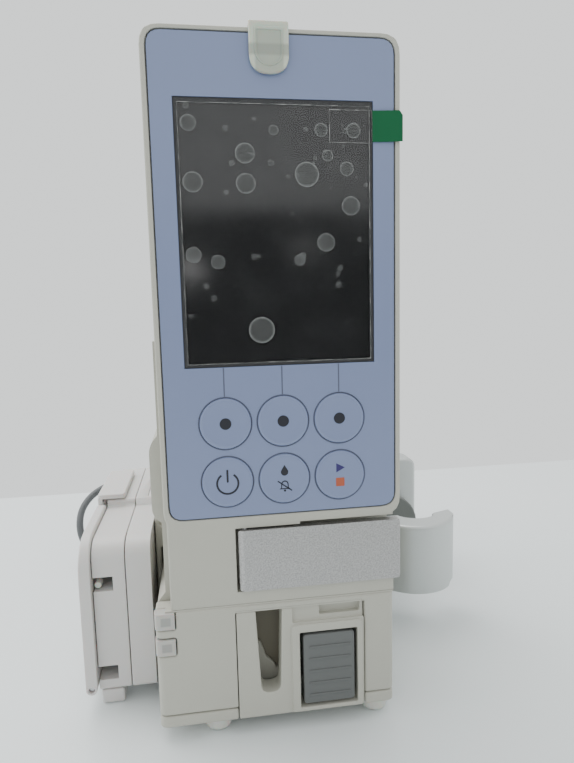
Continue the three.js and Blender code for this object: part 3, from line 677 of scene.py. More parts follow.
def room_beside(group, sharp, room):
    """Note for each sharp edge of a region how far off the region's opposite side is."""
    sides = []
    for face in group:
        for loop in face.loops:
            if loop.edge in sharp:
                start, end = loop.vert.co, loop.link_loop_next.vert.co
                inward = face.normal.cross(end - start).normalized()
                sides.append((loop.edge, start, end, inward))
    if len(sides) < 2:
        return
    start, end, inward = (np.array([side[i] for side in sides]) for i in (1, 2, 3))
    shares = np.linspace(0, 1, 5)[:, None, None]
    samples = start + (end - start) * shares
    along = end - start
    span = (along ** 2).sum(1)
    for i, (line, *_) in enumerate(sides):
        facing = (inward @ inward[i] < -0.3)
        facing &= ((start + end - start[i] - end[i]) @ inward[i] > 0)
        if facing.any():
            gap = samples[:, i][:, None] - start[facing]
            where = np.clip((gap * along[facing]).sum(2) / span[facing], 0, 1)
            nearest = np.linalg.norm(gap - where[..., None] * along[facing], axis=2).min()
            room[line] = min(room.get(line, 1.0), float(nearest))


def weigh_edges(data, edge, share, folds):
    """Give each sharp edge its part of the radius, so that rounded edges never run into each other.

    An edge that ends beside a fold found on an earlier try stays sharp.
    """
    mesh = bmesh.new()
    mesh.from_mesh(data)
    weights = mesh.edges.layers.float.new("bevel_weight_edge")
    sharp = {line for line in mesh.edges
             if len(line.link_faces) == 2 and line.calc_face_angle() > math.radians(32)}
    room = {}
    for group in smooth_regions(mesh, sharp):
        room_beside(group, sharp, room)
    part = {line: min(1.0, 0.42 * room.get(line, 1.0) / edge) for line in sharp}
    for _ in range(2):
        part = {line: min([own] + [part[near] for end in line.verts for near in end.link_edges
                                   if near in part and in_line(line, near, end)])
                for line, own in part.items()}
    tree = KDTree(len(folds))
    for i, corner in enumerate(folds):
        tree.insert(corner, i)
    tree.balance()
    for line, own in part.items():
        middle = ((line.verts[0].co + line.verts[1].co) / 2 - ORIGIN) / MM
        line[weights] = min(own, share(middle)) if share else own
        if folds and min(tree.find(end.co)[2] for end in line.verts) < 1.5 * edge:
            line[weights] = 0.0
    mesh.to_mesh(data)
    mesh.free()


def in_line(line, near, shared):
    """Whether two edges that share a corner run on in about the same direction."""
    if line is near:
        return False
    ahead = line.other_vert(shared).co - shared.co
    back = shared.co - near.other_vert(shared).co
    return ahead.angle(back, 0.0) < math.radians(35)


def rounded(node, edge, segments=3, crease=35, share=None):
    """A copy of a CAD node with rounded edges. share gives each edge's part of the radius, from 0 to 1."""
    source = frame["nodes"][node]
    mesh = bmesh.new()
    mesh.from_mesh(source.data)
    bmesh.ops.remove_doubles(mesh, verts=mesh.verts, dist=2e-6)
    bmesh.ops.dissolve_limit(mesh, angle_limit=math.radians(0.7), verts=mesh.verts, edges=mesh.edges)
    bmesh.ops.dissolve_degenerate(mesh, dist=2e-6, edges=mesh.edges)
    data = bpy.data.meshes.new(node + "_made")
    mesh.to_mesh(data)
    mesh.free()
    made = bpy.data.objects.new(node + "_made", data)
    bpy.context.scene.collection.objects.link(made)
    return soften(made, edge, segments, crease, share)


def body_holding(node):
    return next(body for body, nodes in frame["record"]["behaviour"]["bodies"].items() if node in nodes)


def slot_holding(node):
    return next(s["material_slot"] for s in frame["record"]["subparts"] if s["node"] == node)


def dress(piece, finish, node, stands_for=True):
    """Give a piece its finish and tie it to the body of the CAD node it stands for or sits on."""
    piece.data.materials.clear()
    piece.data.materials.append(finish)
    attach(piece, body_holding(node))
    if stands_for:
        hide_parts(node)
        slot_holding(node)
    return piece


def dress_rounded(node, edge, finish, **options):
    return dress(rounded(node, edge, **options), finish, node)


# ---- geometry node trees -------------------------------------------------------------------------
class Tree:
    """A Geometry Nodes tree being built, with named inputs."""

    def __init__(self, name, **inputs):
        self.group = bpy.data.node_groups.new(name, "GeometryNodeTree")
        self.group.interface.new_socket("Geometry", in_out="INPUT", socket_type="NodeSocketGeometry")
        for label, kind in inputs.items():
            self.group.interface.new_socket(label.replace("_", " "), in_out="INPUT",
                                            socket_type="NodeSocket" + kind)
        self.group.interface.new_socket("Geometry", in_out="OUTPUT", socket_type="NodeSocketGeometry")
        self.given = self.group.nodes.new("NodeGroupInput").outputs

    def node(self, kind, settings=None, sockets=None):
        return add_node(self.group, "GeometryNode" + kind, settings, sockets)

    def finish(self, geometry):
        """Realize the instances, set the material and close the tree."""
        real = self.node("RealizeInstances", None, {"Geometry": geometry})
        coated = self.node("SetMaterial", None, {
            "Geometry": real.outputs[0], "Material": self.given["Material"]})
        sink = self.group.nodes.new("NodeGroupOutput")
        self.group.links.new(coated.outputs[0], sink.inputs[0])
        return self.group


@functools.cache
def copies_tree():
    """One item on every point, scaled by the point's size attribute."""
    tree = Tree("copies on points", Item="Object", Material="Material")
    item = tree.node("ObjectInfo", None, {"Object": tree.given["Item"]})
    size = tree.node("InputNamedAttribute", {"data_type": "FLOAT"}, {"Name": "size"})
    copies = tree.node("InstanceOnPoints", None, {
        "Points": tree.given["Geometry"], "Instance": item.outputs["Geometry"], "Scale": size.outputs[0]})
    return tree.finish(copies.outputs[0])


@functools.cache
def scatter_tree():
    """Items scattered over a surface from a fixed seed, small ones more often than large."""
    tree = Tree("scattered items", Item="Object", Material="Material", Count="Int", Smallest="Float",
                Largest="Float", Seed="Int")
    spots = tree.node("DistributePointsOnFaces", {"distribute_method": "RANDOM"}, {
        "Mesh": tree.given["Geometry"], "Density": 30000.0, "Seed": tree.given["Seed"]})
    index = tree.node("InputIndex")
    extra = add_node(tree.group, "FunctionNodeCompare", {"data_type": "INT", "operation": "GREATER_EQUAL"},
                     {2: index.outputs[0], 3: tree.given["Count"]})
    kept = tree.node("DeleteGeometry", {"domain": "POINT"}, {"Geometry": spots.outputs[0],
                                                            "Selection": extra.outputs[0]})
    draw = add_node(tree.group, "FunctionNodeRandomValue", {"data_type": "FLOAT"}, {"Seed": 5})
    skewed = add_node(tree.group, "ShaderNodeMath", {"operation": "POWER"}, {0: draw.outputs[1], 1: 3.0})
    size = add_node(tree.group, "ShaderNodeMapRange", None, {
        "Value": skewed.outputs[0], "To Min": tree.given["Smallest"], "To Max": tree.given["Largest"]})
    item = tree.node("ObjectInfo", None, {"Object": tree.given["Item"]})
    copies = tree.node("InstanceOnPoints", None, {
        "Points": kept.outputs[0], "Instance": item.outputs["Geometry"], "Scale": size.outputs[0]})
    return tree.finish(copies.outputs[0])


@functools.cache
def thread_tree():
    """A helical ridge: a small section swept along a spiral about the z axis."""
    tree = Tree("screw thread", Material="Material", Turns="Float", Radius="Float", Height="Float",
                Section="Float")
    spiral = tree.node("CurveSpiral", None, {
        "Resolution": 28, "Rotations": tree.given["Turns"], "Start Radius": tree.given["Radius"],
        "End Radius": tree.given["Radius"], "Height": tree.given["Height"]})
    section = tree.node("CurvePrimitiveCircle", {"mode": "RADIUS"}, {
        "Resolution": 8, "Radius": tree.given["Section"]})
    ridge = tree.node("CurveToMesh", None, {"Curve": spiral.outputs[0], "Profile Curve": section.outputs[0],
                                            "Fill Caps": True})
    return tree.finish(ridge.outputs[0])


def run_tree(name, group, points, item=None, **inputs):
    """Run a tree over a mesh of points or faces and keep the result as one plain mesh."""
    holder = bpy.data.objects.new(name, points)
    bpy.context.scene.collection.objects.link(holder)
    modifier = holder.modifiers.new("tree", "NODES")
    modifier.node_group = group
    given = {s.name: s.identifier for s in group.interface.items_tree if s.in_out == "INPUT"}
    for label, value in {"Item": item, **inputs}.items():
        if label.replace("_", " ") in given and value is not None:
            modifier[given[label.replace("_", " ")]] = value
    bpy.context.view_layer.update()
    settle(holder)
    if item:
        bpy.data.objects.remove(item)
    holder.data.set_sharp_from_angle(angle=math.radians(40))
    return holder


def spots(places):
    """A mesh of loose points from (x, y, z, size) in the pump's millimetres."""
    data = bpy.data.meshes.new("spots")
    data.from_pydata([ORIGIN + Vector(p[:3]) * MM for p in places], [], [])
    sizes = data.attributes.new("size", "FLOAT", "POINT")
    sizes.data.foreach_set("value", [p[3] for p in places])
    return data


def at_origin(form, name, edge=0.0, segments=2):
    """A form as an item for a tree: drawn about the frame's own origin."""
    form.mesh.transform(Matrix.Translation(-ORIGIN / MM))
    return form.piece(name, edge, segments)


def screws(name, places, radius, finish, node):
    """Pan-head screws with a hexagon recess, facing back, at (x, y, z) places."""
    recess = [(radius * 0.42 * math.cos(a), radius * 0.42 * math.sin(a))
              for a in (math.pi * k / 3 for k in range(6))]
    head = Form().prism([disc(0, 0, radius, 28), recess], 0.0, radius * 0.55)
    head.prism([disc(0, 0, radius * 0.9, 28)], -0.3, radius * 0.18)
    item = at_origin(head, name + "_item", radius * 0.16, 3)
    made = run_tree(name, copies_tree(), spots([(*place, 1.0) for place in places]), item, Material=finish)
    return dress(made, finish, node, stands_for=False)


# ---- stage ---------------------------------------------------------------------------------------
TABLE_END = 272.0
CAMERA = {"place": (-23.53, -170.99, 135.09), "forward": (0.1436, 0.9816, -0.1259),
          "up": (0.0427, 0.121, 0.9917), "lens": 27.33}


def softbox(name, place, target, width, height, watts, tint=(1.0, 1.0, 1.0)):
    data = bpy.data.lights.new(name, "AREA")
    data.shape, data.size, data.size_y = "RECTANGLE", width, height
    data.energy, data.color = watts, tint
    lamp = bpy.data.objects.new(name, data)
    lamp.location = place
    lamp.rotation_euler = (Vector(target) - Vector(place)).to_track_quat("-Z", "Y").to_euler()
    bpy.context.scene.collection.objects.link(lamp)
    return lamp


# Lamps that the display mirrors: middle x and z, width in millimetres, watts.
FAR_LAMPS = ((-38, 214, 34, 0.03), (120, 430, 420, 0.22), (190, 250, 60, 0.012))


class StageOperator(bpy.types.Operator):
    """Make the camera, the soft studio lights and the pale floor"""

    bl_idname = "pump.stage"
    bl_label = "Stage"

    def execute(self, context):
        scene = context.scene
        data = bpy.data.cameras.new("camera")
        data.lens, data.sensor_width, data.clip_start, data.clip_end = CAMERA["lens"], 36.0, 0.01, 50.0
        eye = bpy.data.objects.new("camera", data)
        back, up = -Vector(CAMERA["forward"]).normalized(), Vector(CAMERA["up"])
        right = up.cross(back).normalized()
        turn = Matrix((right, back.cross(right), back)).transposed().to_4x4()
        eye.matrix_world = Matrix.Translation(ORIGIN + Vector(CAMERA["place"]) * MM) @ turn
        scene.collection.objects.link(eye)
        scene.camera = eye

        world = bpy.data.worlds.new("studio air")
        world.use_nodes = True
        world.node_tree.nodes["Background"].inputs[0].default_value = (0.94, 0.97, 0.97, 1.0)
        world.node_tree.nodes["Background"].inputs[1].default_value = 1.25
        scene.world = world

        middle = (0.0, 0.0, 0.1)
        softbox("overhead softbox", (-0.35, 0.35, 1.1), middle, 0.9, 0.9, 10.0)
        softbox("left softbox", (-1.0, 0.1, 0.5), middle, 0.5, 0.8, 3.0, (0.97, 0.99, 1.0))
        self.cards()

        finish = Finish("pale table", Specular_IOR_Level=0.35)
        broad = finish.noise(160, detail=2)
        finish.feed("Base Color", finish.blend(broad, (0.80, 0.845, 0.85), (0.83, 0.865, 0.87)))
        finish.feed("Roughness", broad * 0.1 + 0.24)
        table = Form().box(-3000, 3000, -3000, TABLE_END, -20, -0.05).piece("table")
        table.data.materials.append(finish.material)
        return {"FINISHED"}

    def cards(self):
        """A dark card that the display mirrors, with a dim lamp strip above it and small lamps beyond."""
        finish = Finish("dark card", Roughness=0.95)
        base = finish.noise(150)
        finish.feed("Base Color", finish.blend(base, (0.012, 0.012, 0.014), (0.03, 0.028, 0.027)))
        card = Form().box(-330, 620, -1010, -1000, -40, 330).piece("dark_card")
        card.data.materials.append(finish.material)
        card.visible_camera = False
        target = ORIGIN + Vector((0, 0, 150)) * MM
        for i, (x, z, size, watts) in enumerate(FAR_LAMPS):
            place = ORIGIN + Vector((x, -990, z)) * MM
            softbox(f"far lamp {i + 1}", place, target, size * MM, size * 0.6 * MM, watts)


# ---- lead ----------------------------------------------------------------------------------------
def relief_profile(start, end, wide, narrow, grooves):
    """Taper with ring grooves, from its wide end to its narrow end."""
    points = [(0, start), (wide - 0.3, start), (wide, start + 0.3)]
    for i in range(grooves):
        low, high = start + (end - start) * (i + 0.35) / grooves, start + (end - start) * (i + 0.75) / grooves
        radius = wide + (narrow - wide) * (i + 0.5) / grooves
        points += [(radius, low), (radius - 0.45, low + 0.15), (radius - 0.45, high - 0.15), (radius, high)]
    return points + [(narrow, end - 0.3), (narrow - 0.25, end), (0, end)]


class LeadOperator(bpy.types.Operator):
    """Make the warmer's lead with its strain relief and its connector"""

    bl_idname = "pump.lead"
    bl_label = "Warmer Lead"

    def execute(self, context):
        sizes = context.scene.pump_sizes
        path = smooth_path(LEAD_ROUTE)
        radius = sizes.lead_diameter / MM / 2
        lead = Form().tube(path, lambda share: radius, 20).piece("warmer_lead_jacket", crease=60)
        dress(lead, lead_jacket(), "warmer_lead")

        x, _, z = LEAD_EXIT
        collar = Form().lathe([(0, 112.3), (5.0, 112.3), (5.0, 114.4), (4.5, 115.0), (0, 115.0)], (x, 0, z))
        collar.lathe(relief_profile(114.6, 126.2, 3.5, 2.4, 4), (x, 0, z))
        relief = dress(collar.piece("lead_strain_relief"), lead_jacket(), "lead_relief")

        x, z = SOCKET
        plug = Form().lathe([(0, 111), (4.7, 111), (4.7, 119.4), (5.9, 119.4), (6.4, 120), (6.4, 122),
                             (5.9, 122.6), (5.9, 128.4), (6.4, 129), (6.4, 130.4), (5.6, 131), (0, 131)],
                            (x, 0, z))
        plug.lathe(relief_profile(130.6, 140.8, 3.8, 2.5, 4), (x, 0, z))
        plug = dress(plug.piece("lead_plug"), charcoal(), "lead_connector")
        [ORIGIN + p * MM for p in path]
        return {"FINISHED"}


# ---- casing --------------------------------------------------------------------------------------
class CasingOperator(bpy.types.Operator):
    """Make the beige casing, its battery door, grille and screws"""

    bl_idname = "pump.casing"
    bl_label = "Casing"

    def execute(self, context):
        sizes = context.scene.pump_sizes
        dress_rounded("rear_housing", sizes.moulding_edge, beige())
        dress_rounded("front_frame", sizes.moulding_edge, beige(), share=frame_share)
        dress_rounded("battery_door", sizes.fine_edge * 1.4, beige())
        self.grille()
        self.battery_door_ribs()
        screws("casing_screws", [(-32, 118, 40), (29, 118, 40), (-32.5, 118, 87), (29, 118, 87),
                                 (-29, 62, 134), (29, 62, 134)], 2.2, ground_steel(), "rear_housing")
        return {"FINISHED"}

    def grille(self):
        """Sound holes over the alarm speaker, in rings, drawn as flat discs of painted shade rather than cut
        through.
        """
        places = [(0, 62.0, 186, 1.0)]
        for ring in range(1, 5):
            for k in range(6 * ring):
                turn = math.pi * k / (3 * ring)
                places.append((2.6 * ring * math.cos(turn), 62.0, 186 + 2.6 * ring * math.sin(turn), 1.0))
        profile = [(0, -0.2), (0.75, -0.2), (0.75, 0.02), (0, 0.02)]
        # Each disc is painted shade: a dark sheet where the holes' shade would be.
        item = at_origin(Form().lathe(profile, (0, 0, 0), sides=12), "sound_hole_item")
        holes = run_tree("sound_holes", copies_tree(), spots(places), item, Material=painted_hole_shade())
        dress(holes, painted_hole_shade(), "rear_housing", stands_for=False)

    def battery_door_ribs(self):
        item = at_origin(Form().box(-9, 9, -0.2, 0.7, -0.55, 0.55), "door_rib_item", 0.3, 3)
        places = [(-2, 118.2, 76 - 2.4 * i, 1.0) for i in range(5)]
        ribs = run_tree("battery_door_ribs", copies_tree(), spots(places), item, Material=beige())
        dress(ribs, beige(), "battery_door", stands_for=False)


def frame_share(middle):
    """Outer front edges get the full radius, the overlay's recess and inner edges a fine one."""
    outside = abs(middle.x) > 35.9 or middle.z > 211.9
    return 1.0 if outside else 0.4


# ---- overlay and keys ----------------------------------------------------------------------------
def key_centres():
    return [(side * KEY_PITCH, z) for z in KEY_ROWS for side in (-1, 0, 1)]


class OverlayOperator(bpy.types.Operator):
    """Make the blue overlay with its printed lines, and the six keys with their marks"""

    bl_idname = "pump.overlay"
    bl_label = "Overlay And Keys"

    def execute(self, context):
        sizes = context.scene.pump_sizes
        self.ink_height = sizes.print_height / MM
        dress_rounded("keypad_panel", sizes.fine_edge * 0.5, overlay_blue())
        dress_rounded("keypad_mat", sizes.fine_edge, foot_rubber())
        self.panel_lines()
        for node, (x, z) in zip(KEY_NODES, key_centres()):
            self.key(node, x, z)
        self.marks()
        return {"FINISHED"}

    def panel_lines(self):
        """Rings round the keys and the lines that lead from the display to the upper row."""
        front = 0.1
        rings = Form()
        for x, z in key_centres():
            rings.prism([disc(x, z, 8.14, 72), disc(x, z, 7.88, 72)], front - self.ink_height, front + 0.02)
        for x, _ in key_centres()[:3]:
            rings.prism([[(x - 0.2, 109.4), (x + 0.2, 109.4), (x + 0.2, 118.0), (x - 0.2, 118.0)]],
                        front - self.ink_height, front + 0.02)
        dress(rings.piece("overlay_lines"), line_ink(), "keypad_panel", stands_for=False)

    def key(self, node, x, z):
        """Round key: a rolled edge round a face that is very slightly dished."""
        profile = [(0, -0.30), (3.5, -0.31), (5.6, -0.36), (6.5, -0.46), (7.0, -0.48), (7.45, -0.36),
                   (7.68, -0.12), (7.74, 0.2), (7.74, 2.2), (7.6, 2.2), (7.6, 2.7), (3.0, 2.7),
                   (3.0, 5.2), (0, 5.2)]
        cap = Form().lathe(profile, (x, 0, z), sides=64)
        dress(cap.piece(node + "_cap", crease=50), overlay_blue(), node)

    def mark(self, name, loops, finish, node):
        face = -0.305
        form = Form()
        for group in loops:
            form.prism(group, face - self.ink_height - 0.02, face + 0.02)
        dress(form.piece(name), finish, node, stands_for=False)

    def marks(self):
        upper, lower = KEY_ROWS
        for i, node in enumerate(KEY_NODES[:3]):
            self.mark(node + "_dot", [[disc((i - 1) * KEY_PITCH, upper, 1.75)]], black_ink(), node)
        self.mark("power_mark", power_sign(-KEY_PITCH, lower), black_ink(), "key_power")
        self.mark("purge_mark", [*drop_sign(0, lower + 2.4), *silent_sign(0, lower - 2.3)], black_ink(),
                  "key_purge")
        self.mark("start_mark", [[play_sign(KEY_PITCH, lower + 2.3)]], navy_ink(), "key_start")
        square = round_box(KEY_PITCH - 1.35, KEY_PITCH + 1.35, lower - 3.6, lower - 0.9, 0.2)
        self.mark("stop_mark", [[square]], orange_ink(), "key_start")


def power_sign(x, z):
    """An open ring with a stroke through its gap."""
    ring = arc(x, z - 0.4, 3.5, 125, 415, 40) + arc(x, z - 0.4, 2.9, 415, 125, 40)
    stroke = round_box(x - 0.3, x + 0.3, z - 0.1, z + 3.9, 0.29)
    return [[ring], [stroke]]


def drop_sign(x, z):
    drop = arc(x, z - 0.35, 1.15, -210, 30, 16) + [(x, z + 1.9)]
    return [[drop]]


def silent_sign(x, z):
    """A small bell with a bar struck across it."""
    bell = ([(x - 1.7, z - 1.05), (x - 1.2, z - 0.5)] + arc(x, z + 0.55, 1.15, 180, 0, 12)
            + [(x + 1.2, z - 0.5), (x + 1.7, z - 1.05)])
    hollow = [(x - 0.95, z - 0.72), (x + 0.95, z - 0.72)] + arc(x, z + 0.5, 0.8, 0, 180, 10)
    clapper = disc(x, z - 1.5, 0.36, 14)
    bar = [(x - 2.05, z + 1.75), (x - 2.3, z + 1.45), (x + 2.05, z - 1.75), (x + 2.3, z - 1.45)]
    return [[bell[::-1], hollow], [clapper], [bar]]


def inset(outline, middle, share):
    """The same outline drawn in towards its own middle."""
    height = sum(z for _, z in outline) / len(outline)
    return [(middle + (x - middle) * share, height + (z - height) * (share + 0.06)) for x, z in outline]


def play_sign(x, z):
    return [(x - 1.2, z - 1.45), (x + 1.5, z), (x - 1.2, z + 1.45)]


# ---- display -------------------------------------------------------------------------------------
# Large air bubbles under the film: middle x and z, and radius.
BIG_BUBBLES = [
    (-24.6, 187, 2.2), (-9, 179, 2.8), (-24, 171, 2.8), (-9, 170.7, 2.8), (8.8, 173.3, 3.5),
    (-0.6, 185.4, 1.4),
    (13.2, 185.7, 1.9), (22.8, 185.7, 2.1), (15, 178.6, 1.6), (20.7, 175, 2.0), (21.8, 164.5, 2.7),
    (-5.6, 128.8, 3.8), (14.2, 154, 2.6), (-17.7, 148.7, 2.0), (-24.6, 150.8, 2.2), (6.3, 149, 1.6),
]


class DisplayOperator(bpy.types.Operator):
    """Make the display glass, the protective film with its bubbles, and the green pull tab"""

    bl_idname = "pump.display"
    bl_label = "Display And Film"

    def execute(self, context):
        sizes = context.scene.pump_sizes
        dress_rounded("screen_window", sizes.fine_edge * 0.6, display_glass())
        dress_rounded("lcd_module", sizes.fine_edge, charcoal())
        self.bezel()
        self.film()
        self.bubbles(sizes.bubbles)
        self.pull_tab()
        return {"FINISHED"}

    def bezel(self):
        """Narrow step that holds the glass, inside the overlay's cut-out."""
        half, low, high = WINDOW["half"], WINDOW["low"], WINDOW["high"]
        rim = Form().prism([round_box(-half + 0.05, half - 0.05, low + 0.05, high - 0.05, 0.4, 3),
                            round_box(-half + 1.15, half - 1.15, low + 1.15, high - 1.6, 0.3, 3)], 0.36, 0.6)
        dress(rim.piece("display_bezel", 0.12, 2), charcoal(), "front_frame", stands_for=False)

    def film(self):
        """A sheet with shallow waves, and the clear tape that ties it to the tab."""
        half, low, high = WINDOW["half"] - 0.6, WINDOW["low"] + 0.6, WINDOW["high"] - 0.6
        columns, rows = 44, 58
        form = Form()
        grid = [[form.mesh.verts.new(self.film_point(half, low, high, i / columns, k / rows))
                 for i in range(columns + 1)] for k in range(rows + 1)]
        for below, above in zip(grid, grid[1:]):
            for i in range(columns):
                form.mesh.faces.new([below[i], below[i + 1], above[i + 1], above[i]])
        sheet = form.piece("film_sheet", crease=80)
        solidify = sheet.modifiers.new("gauge", "SOLIDIFY")
        solidify.thickness, solidify.offset = 0.1 * MM, 0.0
        dress(settle(sheet), clear_film(), "screen_film")
        tape = Form().prism([round_box(15.6, 28.4, 182.2, 191.4, 0.2, 2),
                             round_box(15.75, 28.25, 182.35, 191.25, 0.1, 2)], -0.02, 0.06)
        dress(tape.piece("film_tape"), crease_film(), "screen_film", stands_for=False)
        half, low, high = half - 0.5, low + 0.5, high - 0.9
        rim = Form().prism([round_box(-half, half, low, high, 0.2, 2),
                            round_box(-half + 0.14, half - 0.14, low + 0.14, high - 0.14, 0.1, 2)], 0.0, 0.08)
        dress(rim.piece("film_crease"), crease_film(), "screen_film", stands_for=False)

    def film_point(self, half, low, high, u, v):
        wave = 0.05 * math.sin(5.1 * u + 2.3 * v) * math.sin(3.7 * v + 1.2) + 0.03 * math.sin(17 * u - 9 * v)
        return (-half + 2 * half * u, 0.2 + wave, low + (high - low) * v)

    def bubbles(self, count):
        made = run_tree("large_bubbles", copies_tree(), spots([(x, 0.07, z, r) for x, z, r in BIG_BUBBLES]),
                        self.bubble_item(), Material=bubble_film())
        dress(made, bubble_film(), "screen_film", stands_for=False)
        field = Form().prism([[(-27, 120), (27, 120), (27, 192), (-27, 192)]], 0.06, 0.07)
        bmesh.ops.delete(field.mesh, geom=[f for f in field.mesh.faces if f.calc_center_median().y > 0.0605],
                         context="FACES")
        surface = field.piece("bubble_field")
        made = run_tree("small_bubbles", scatter_tree(), surface.data.copy(), self.bubble_item(),
                        Material=bubble_film(), Count=count, Smallest=0.14, Largest=0.9, Seed=11)
        bpy.data.objects.remove(surface)
        dress(made, bubble_film(), "screen_film", stands_for=False)

    def bubble_item(self):
        """A shallow blister one millimetre in radius, whose rim attribute grows towards its edge."""
        profile = [(0, -0.06), (0.35, -0.058), (0.62, -0.05), (0.82, -0.036), (0.93, -0.02), (1.0, 0.0),
                   (0, 0.01)]
        item = at_origin(Form().lathe(profile, (0, 0, 0), sides=32), "bubble_item")
        rim = item.data.attributes.new("rim", "FLOAT", "POINT")
        rim.data.foreach_set("value", [min(1.0, math.hypot(v.co.x, v.co.z) / MM) for v in item.data.vertices])
        return item

    def pull_tab(self):
        """A strip folded up off the glass and curling a little at its free end."""
        form = Form()
        rings = []
        steps = 24
        for i in range(steps + 1):
            share = i / steps
            x = 28.4 + 9.0 * share
            y = -0.42 - 0.5 * share ** 3
            top = 191.2 - max(0.0, 14.0 * (share - 0.9))
            rings.append([form.mesh.verts.new((x, y + dy, z + 0.25 * share))
                          for dy, z in ((0, 182.5), (0, top), (0.22, top), (0.22, 182.5))])
        for ring, after in zip(rings, rings[1:]):
            for k in range(4):
                form.mesh.faces.new([ring[k], ring[(k + 1) % 4], after[(k + 1) % 4], after[k]])
        form.mesh.faces.new(rings[0])
        form.mesh.faces.new(rings[-1])
        dress(form.piece("film_tab_strip"), green_tab(), "film_pull_tab")


# ---- alarm lens ----------------------------------------------------------------------------------
class LensOperator(bpy.types.Operator):
    """Make the alarm lens that hooks over the top of the frame"""

    bl_idname = "pump.lens"
    bl_label = "Alarm Lens"

    def execute(self, context):
        low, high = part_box("alarm_lens")
        left, right = ((p.x - ORIGIN.x) / MM for p in (low, high))
        bottom, top = ((p.z - ORIGIN.z) / MM for p in (low, high))
        half = (right - left) / 2
        middle = (left + right) / 2
        dress_rounded("alarm_lens", 0.5 * MM, lens_plastic(), segments=4)
        inner = half - 1.55
        ridge = arc(middle, bottom + 1.9 + inner, inner, 180, 360, 20)
        ridge = [(middle - inner, top - 1.6), *ridge, (middle + inner, top - 1.6)]
        boss = Form().prism([ridge, inset(ridge, middle, 0.82)], -1.78, -1.3)
        dress(boss.piece("alarm_lens_boss", 0.18, 3), lens_plastic(), "alarm_lens", stands_for=False)
        return {"FINISHED"}


# ---- lower block ---------------------------------------------------------------------------------
class BlockOperator(bpy.types.Operator):
    """Make the lower front cover, base tray, status lenses, feet and the guide behind the tube slot"""

    bl_idname = "pump.block"
    bl_label = "Lower Block"

    def execute(self, context):
        sizes = context.scene.pump_sizes
        dress_rounded("lower_front_cover", sizes.moulding_edge, beige())
        dress_rounded("base_tray", sizes.moulding_edge, beige())
        for node in ("status_lens_upper", "status_lens_lower"):
            dress_rounded(node, sizes.fine_edge, status_lens())
        for i in range(1, 5):
            self.foot(f"foot_{i}")
        self.tube_guide()
        self.seam_backing()
        return {"FINISHED"}

    def seam_backing(self):
        """Tongues that close the seams round the door and above the lower cover, just below the surface."""
        low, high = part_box("door_panel")
        left, right = ((p.x - ORIGIN.x) / MM for p in (low, high))
        top = high.z / MM
        seams = Form().box(left - 0.5, left - 0.02, -0.42, 3.0, 9.5, top + 0.2)
        seams.box(right + 0.02, right + 0.5, -0.42, 3.0, 9.5, top + 0.2)
        seams.box(left - 0.5, right + 0.5, -0.42, 3.0, top + 0.05, top + 0.5)
        seams.box(-38, 34.4, -0.1, 3.0, 43.3, 43.8)
        dress(seams.piece("seam_tongues"), beige(), "lower_front_cover", stands_for=False)

    def foot(self, node):
        low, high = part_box(node)
        centre = ((low + high) / 2 - ORIGIN) / MM
        profile = [(0, 0), (1.5, 0.02), (3.0, 0.35), (4.1, 1.2), (4.65, 2.5), (4.8, 3.9), (4.8, 5.1),
                   (0, 5.1)]
        dome = Form().lathe(profile, (centre.x, centre.y, 0), axis=2, sides=40)
        dress(dome.piece(node + "_dome", crease=50), foot_rubber(), node)

    def tube_guide(self):
        """Trough behind the slot, with a ramp at its lower left that the tubing rests on."""
        guide = Form().box(-11.5, -1.0, 11.0, 12.6, 10.5, 42.0)
        outline = [(-10.4, 11.0), (-1.6, 11.0), (-2.6, 15.6), *arc(-9.2, 13.4, 6.4, 12, 62, 5), (-8.2, 25.0),
                   (-10.4, 25.6)]
        ramp = Form().prism([outline], 9.5, 11.2)
        dress(guide.piece("tube_guide_back", 0.3), tube_guide_olive(), "rear_housing", stands_for=False)
        dress(ramp.piece("tube_guide_ramp", 0.6, 4), beige(), "rear_housing", stands_for=False)


# ---- door and latch ------------------------------------------------------------------------------
class DoorOperator(bpy.types.Operator):
    """Make the tube door and its ribbed latch button"""

    bl_idname = "pump.door"
    bl_label = "Tube Door"

    def execute(self, context):
        sizes = context.scene.pump_sizes
        dress_rounded("door_panel", sizes.moulding_edge * 0.6, beige())
        low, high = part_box("door_latch_button")
        x0, x1 = ((p.x - ORIGIN.x) / MM for p in (low, high))
        z0, z1 = low.z / MM, high.z / MM
        button = Form().prism([round_box(x0, x1, z0, z1, 1.0, 5)], -1.1, 4.6)
        dress(button.piece("latch_button_face", 0.35, 3), latch_grey(), "door_latch_button")
        width = x1 - x0 - 3.2
        item = at_origin(Form().box(-width / 2, width / 2, -0.32, 0.3, -0.32, 0.32), "latch_rib_item", 0.2, 3)
        places = [((x0 + x1) / 2 + 0.3, -1.1, z0 + 3 + 4.1 * i, 1.0) for i in range(5)]
        ribs = run_tree("latch_ribs", copies_tree(), spots(places), item, Material=latch_grey())
        dress(ribs, latch_grey(), "door_latch_button", stands_for=False)
        return {"FINISHED"}


# ---- lever ---------------------------------------------------------------------------------------
class LeverOperator(bpy.types.Operator):
    """Make the blasted aluminium lever and its pin"""

    bl_idname = "pump.lever"
    bl_label = "Lever"

    def execute(self, context):
        edge = context.scene.pump_sizes.metal_edge
        dress_rounded("lever_plate", edge * 1.5, blasted_aluminium(), segments=2)
        dress_rounded("lever_pin", edge, ground_steel())
        return {"FINISHED"}


